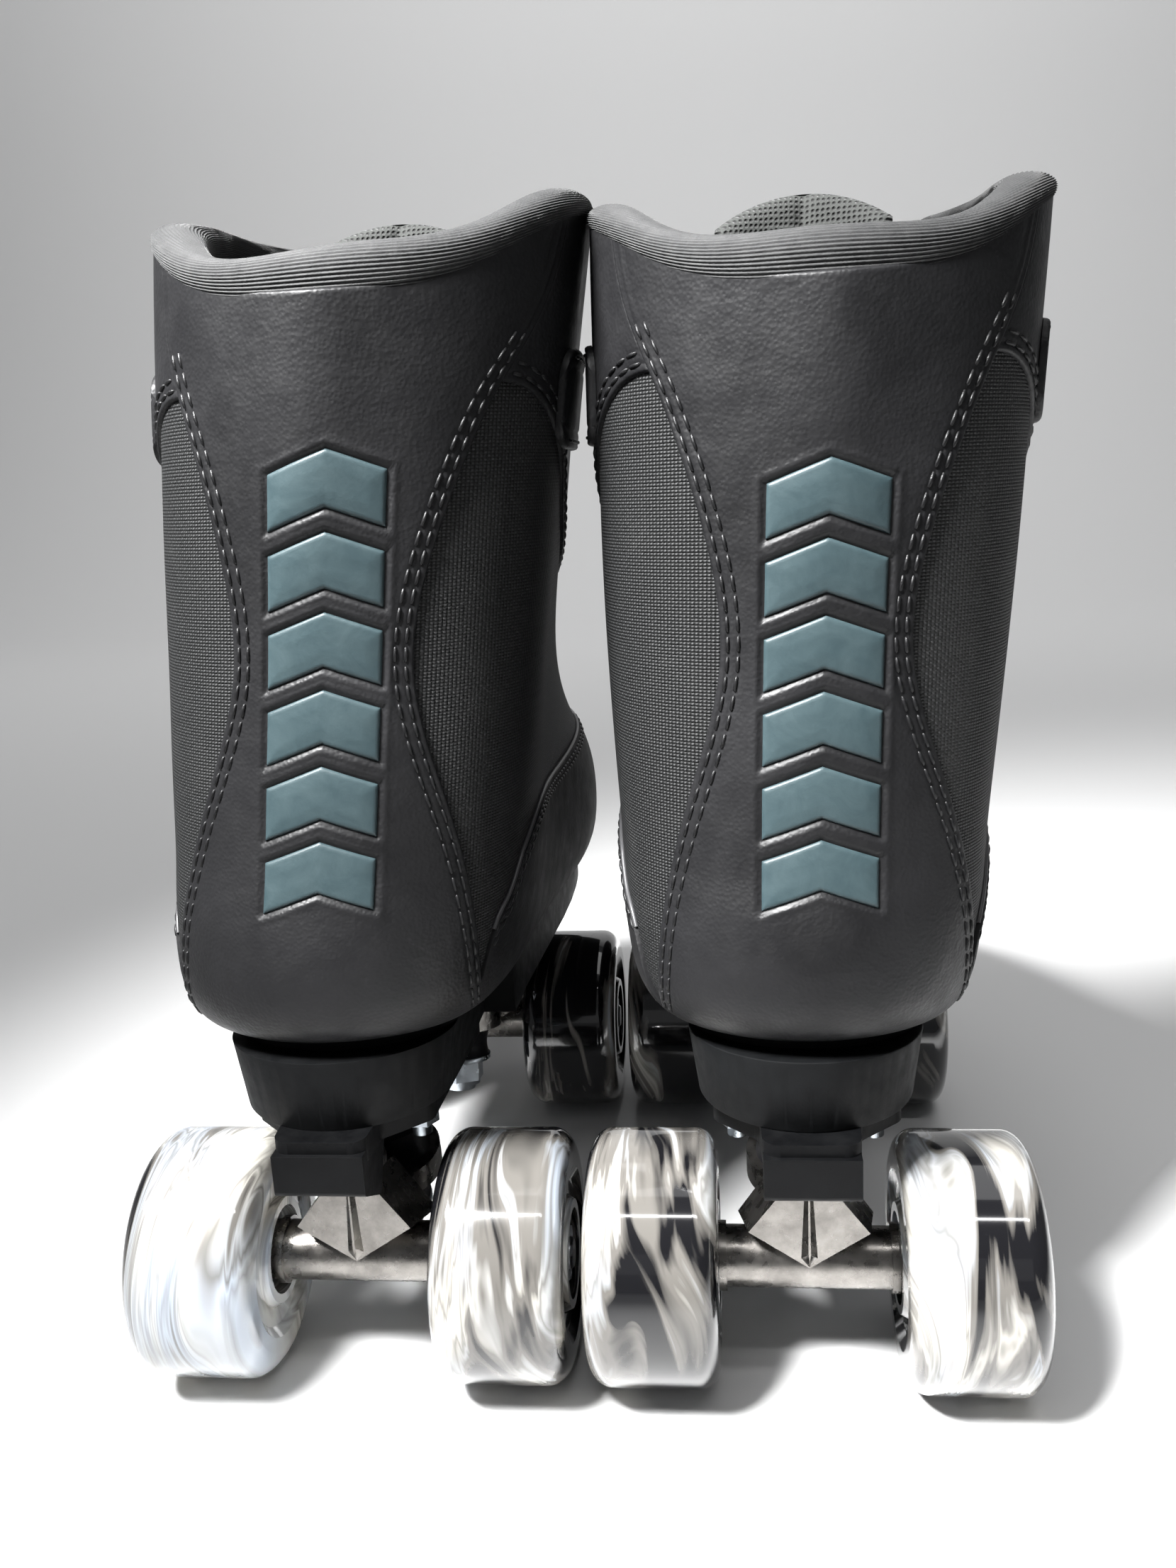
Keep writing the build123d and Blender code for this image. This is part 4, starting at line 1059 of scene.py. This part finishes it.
STRAP_LOW, STRAP_HIGH, STRAP_THICK = 229.0, 251.0, 1.5
STRAP_UNDERSIDE, STRAP_EDGE, STRAP_TOP = 1.1, 1.15, 2.6
STRAP_END_Y, STRAP_HINGE_Y = 6.0, 56.0
STRAP_ROUND, STRAP_STITCH_INSET = 8.0, 2.0


def strap_length(name, side, round_end, sewn_end, mats, body, replaced):
    """One length of strap, from its rounded end to the end that is sewn or folded."""
    skin = SKIN[side]
    start, end = sorted((round_end, sewn_end))
    length, tall = end - start, STRAP_HIGH - STRAP_LOW
    u, v = np.meshgrid(edge_spread(length, 2.0), edge_spread(tall, 2.0))
    near = (u if round_end < sewn_end else 1 - u) * length
    round_off = np.sqrt(np.clip(1.0 - (1.0 - np.clip(near / STRAP_ROUND, 0.0, 1.0)) ** 2, 0.0, 1.0))
    height = (STRAP_LOW + STRAP_HIGH) / 2 + (v - 0.5) * tall * (0.35 + 0.65 * round_off)
    out = np.minimum(edge_profile(np.minimum(u, 1 - u) * length, STRAP_THICK, False),
                     edge_profile(v * tall, STRAP_THICK, True))
    out = STRAP_EDGE + np.minimum(out, edge_profile((1 - v) * tall, STRAP_THICK, True))
    sheet(name, skin, start + length * u, height, out, STRAP_UNDERSIDE, mats["strap"], body,
          (replaced,))
    run = np.linspace(start + 6.0, end - 6.0, 200)
    rows = (STRAP_LOW + STRAP_STITCH_INSET, STRAP_HIGH - STRAP_STITCH_INSET)
    lines = [line_on(skin, run, np.full(run.shape, row), STRAP_TOP) for row in rows]
    stitches(name + "_stitches", lines, mats["thread"], body)


def make_straps(side, mats):
    """Ankle strap: a fixed part on the medial side and a flap over the front to the lateral side."""
    skin, medial = SKIN[side], MEDIAL[side]
    middle = (STRAP_LOW + STRAP_HIGH) / 2
    reach = np.linspace(0.0, 150.0, 1200)

    def across_at(y, sign):
        """Distance across where the strap's middle reaches y."""
        return sign * np.interp(y, skin.local(sign * reach, middle)[:, 1], reach)

    hinge = across_at(STRAP_HINGE_Y, medial)
    whole = float(np.interp(middle, skin.heights, skin.whole))
    strap_length(side + "_strap_fixed", side, across_at(STRAP_END_Y, medial), hinge - 0.3 * medial,
                 mats, side + "_boot", side + "_strap_base")
    strap_length(side + "_strap_over", side, across_at(STRAP_END_Y, -medial) + whole * medial,
                 hinge + 0.1 * medial, mats, side + "_strap", side + "_strap_flap")


EYELET_Z = tuple(162.0 + 10.5 * row for row in range(6))
EYELET_X = 19.0
LACE_OUT, LACE_UNDER, LACE_OVER = 2.2, 4.0, 6.2


def make_laces(side, material):
    """Flat woven lace crossed over the throat from eyelet to eyelet."""
    skin = SKIN[side]
    paths = []

    def place(row, sign):
        """Place of an eyelet, out from the boot."""
        height = EYELET_Z[row]
        across = skin.front(height) - sign * EYELET_X
        return skin.at(across, height, LACE_OUT), skin.normal(across, height)

    def run(first, last, lift):
        """Bowed run of lace from one place to another."""
        (a, normal_a), (b, normal_b) = first, last
        part = np.linspace(0.0, 1.0, 40)[:, None]
        out = (normal_a + normal_b) / np.linalg.norm(normal_a + normal_b)
        bow = 4 * part * (1 - part) * lift * MM
        path = a + (b - a) * part + out * bow
        twist = normal_a * (1 - part) + normal_b * part
        return path, twist / np.linalg.norm(twist, axis=1)[:, None]

    for row in range(len(EYELET_Z) - 1):
        paths.append(run(place(row, 1), place(row + 1, -1), LACE_UNDER))
        paths.append(run(place(row, -1), place(row + 1, 1), LACE_OVER))
    paths.append(run(place(0, 1), place(0, -1), LACE_UNDER))
    for number, (path, normals) in enumerate(paths):
        cord_line(f"{side}_lace_{number + 1}", path, 0.95, material, side + "_boot", flat=2.6,
                  replaces=(side + "_laces",) if number == 0 else (), normals=normals, around=12)


# ---------------------------------------------------------------- hard parts from the CAD nodes

def finish_node(node, material, bevel=0.0):
    """Gives a CAD node its material, and small rounded edges made by modifiers."""
    piece = nodes[node]
    piece.data.materials.clear()
    piece.data.materials.append(material)
    for polygon in piece.data.polygons:
        polygon.material_index = 0
    if bevel:
        weld = piece.modifiers.new("weld", "WELD")
        weld.merge_threshold = 0.01 * MM
        flat = piece.modifiers.new("flat", "DECIMATE")
        flat.decimate_type = "DISSOLVE"
        flat.angle_limit = math.radians(1.5)
        edges = piece.modifiers.new("edges", "BEVEL")
        edges.width = bevel * MM
        edges.segments = 2
        edges.limit_method = "ANGLE"
        edges.angle_limit = math.radians(32)
        edges.use_clamp_overlap = True


# Darkness and turn of each wheel's swirl. The darkness is set larger on the front wheels and the inner wheels
# as painted shade, where they sit under the boots and between the skates.
WHEEL_SWIRL_AND_SHADE = {
    "left_rear_left_wheel": (-0.065, 0.3), "left_rear_right_wheel": (0.10, 1.7),
    "right_rear_left_wheel": (0.14, 2.6), "right_rear_right_wheel": (0.045, 4.0),
    "left_front_left_wheel": (0.14, 5.1), "left_front_right_wheel": (0.21, 0.9),
    "right_front_left_wheel": (0.21, 3.3), "right_front_right_wheel": (0.20, 2.0),
}


def finish_hard_parts(mats):
    """Materials and rounded edges of the plate, trucks, wheels and hardware."""
    kinds = (
        ("eyelets", "eyelet", "eyelet_metal", 0.0), ("outsole", "sole", "sole_rubber", 0.5),
        ("heel_block", "heel", "heel_rubber", 0.7), ("plate", "plate", "plate_nylon", 0.5),
        ("mounting_hardware", "zinc", "zinc_steel", 0.15), ("pivot_cups", "plate", "cup_plastic", 0.0),
        ("kingpins", "zinc", "zinc_steel", 0.15), ("front_cushions", "cushion", "cushion_urethane", 0.0),
        ("rear_cushions", "cushion", "cushion_urethane", 0.0), ("toe_stop", "stop", "stop_rubber", 0.8),
        ("toe_stop_stem", "zinc", "zinc_steel", 0.0), ("front_hanger", "nickel", "nickel_alloy", 0.0),
        ("rear_hanger", "nickel", "nickel_alloy", 0.0), ("front_axle", "steel", "axle_steel", 0.0),
        ("rear_axle", "steel", "axle_steel", 0.0), ("front_bearings", "steel", "bearing_steel", 0.0),
        ("rear_bearings", "steel", "bearing_steel", 0.0), ("front_axle_nuts", "zinc", "zinc_steel", 0.1),
        ("rear_axle_nuts", "zinc", "zinc_steel", 0.1),
    )
    for side in SIDES:
        for part, material, slot, bevel in kinds:
            finish_node(f"{side}_{part}", mats[material], bevel)
        for end in ("front", "rear"):
            for wheel in ("left", "right"):
                node = f"{side}_{end}_{wheel}_wheel"
                dark, turn = WHEEL_SWIRL_AND_SHADE[node]
                finish_node(node, marble(node + "_swirl_and_shade", box_middle(node), dark, turn))


def make_materials():
    """All materials by short name."""
    return {
        "leather": leatherette("boot_leatherette", (0.0055, 0.0055, 0.006), (0.0125, 0.0125, 0.0135)),
        # Darker, rougher copy of the boot leather for the forefoot overlay. Its darker colour is painted
        # shade on the low forefoot; the rougher finish cuts grazing reflections.
        "toe": leatherette("toe_leatherette", (0.0035, 0.0035, 0.004), (0.008, 0.008, 0.0088), 0.68),
        "strap": leatherette("strap_leatherette", (0.006, 0.006, 0.0065), (0.013, 0.013, 0.014), 0.5),
        "nylon": woven("nylon_weave", 1.0, 0.72, (0.0004, 0.0005, 0.0006), (0.030, 0.031, 0.032), 0.0005),
        "mesh": spacer_mesh("mesh_fabric"),
        "collar": ribbed_fabric("collar_fabric"),
        "motif": motif_fill("motif_fill"),
        "thread": braid("thread", (0.0025, 0.0025, 0.003), (0.010, 0.010, 0.0105)),
        "piping": plain_material("piping", (0.05, 0.05, 0.052), 0.4),
        "footbed": woven("footbed_foam", 1.2, 1.2, (0.008, 0.008, 0.009), (0.05, 0.05, 0.052), 0.0002),
        "lace": braid("lace_cord", (0.006, 0.006, 0.007), (0.03, 0.03, 0.031)),
        "eyelet": metal("eyelet_metal", (0.03, 0.03, 0.032), (0.06, 0.06, 0.062), 0.4),
        "sole": rubber("sole_rubber", (0.003, 0.003, 0.0035), (0.012, 0.012, 0.0125), 0.62),
        "heel": rubber("heel_rubber", (0.0012, 0.0014, 0.0017), (0.0045, 0.005, 0.0055), 0.6),
        "plate": rubber("plate_nylon", (0.0012, 0.0013, 0.0016), (0.0035, 0.0038, 0.0042), 0.5),
        "zinc": metal("zinc_steel", (0.42, 0.46, 0.50), (0.66, 0.71, 0.76), 0.3),
        "cushion": rubber("cushion_urethane", (0.006, 0.006, 0.007), (0.02, 0.02, 0.021), 0.4),
        "stop": rubber("stop_rubber", (0.006, 0.006, 0.006), (0.03, 0.03, 0.03), 0.7),
        "nickel": metal("nickel_alloy", (0.16, 0.15, 0.14), (0.32, 0.305, 0.285), 0.27),
        "steel": metal("axle_steel", (0.40, 0.40, 0.41), (0.58, 0.58, 0.6), 0.3),
    }


def make_boot(side, mats):
    """Every sewn and padded piece of one boot."""
    base_shell(side, mats)
    make_backstay(side, mats)
    make_cuff(side, mats)
    make_eyestay(side, mats)
    make_overlay(side, mats)
    make_collar(side, mats["collar"])
    make_tongue(side, mats["mesh"])
    make_insole(side, mats["footbed"])
    make_straps(side, mats)
    make_laces(side, mats["lace"])


materials = make_materials()
make_camera()
make_world()
make_stage()
make_lights()
finish_hard_parts(materials)
for boot_side in SIDES:
    make_boot(boot_side, materials)
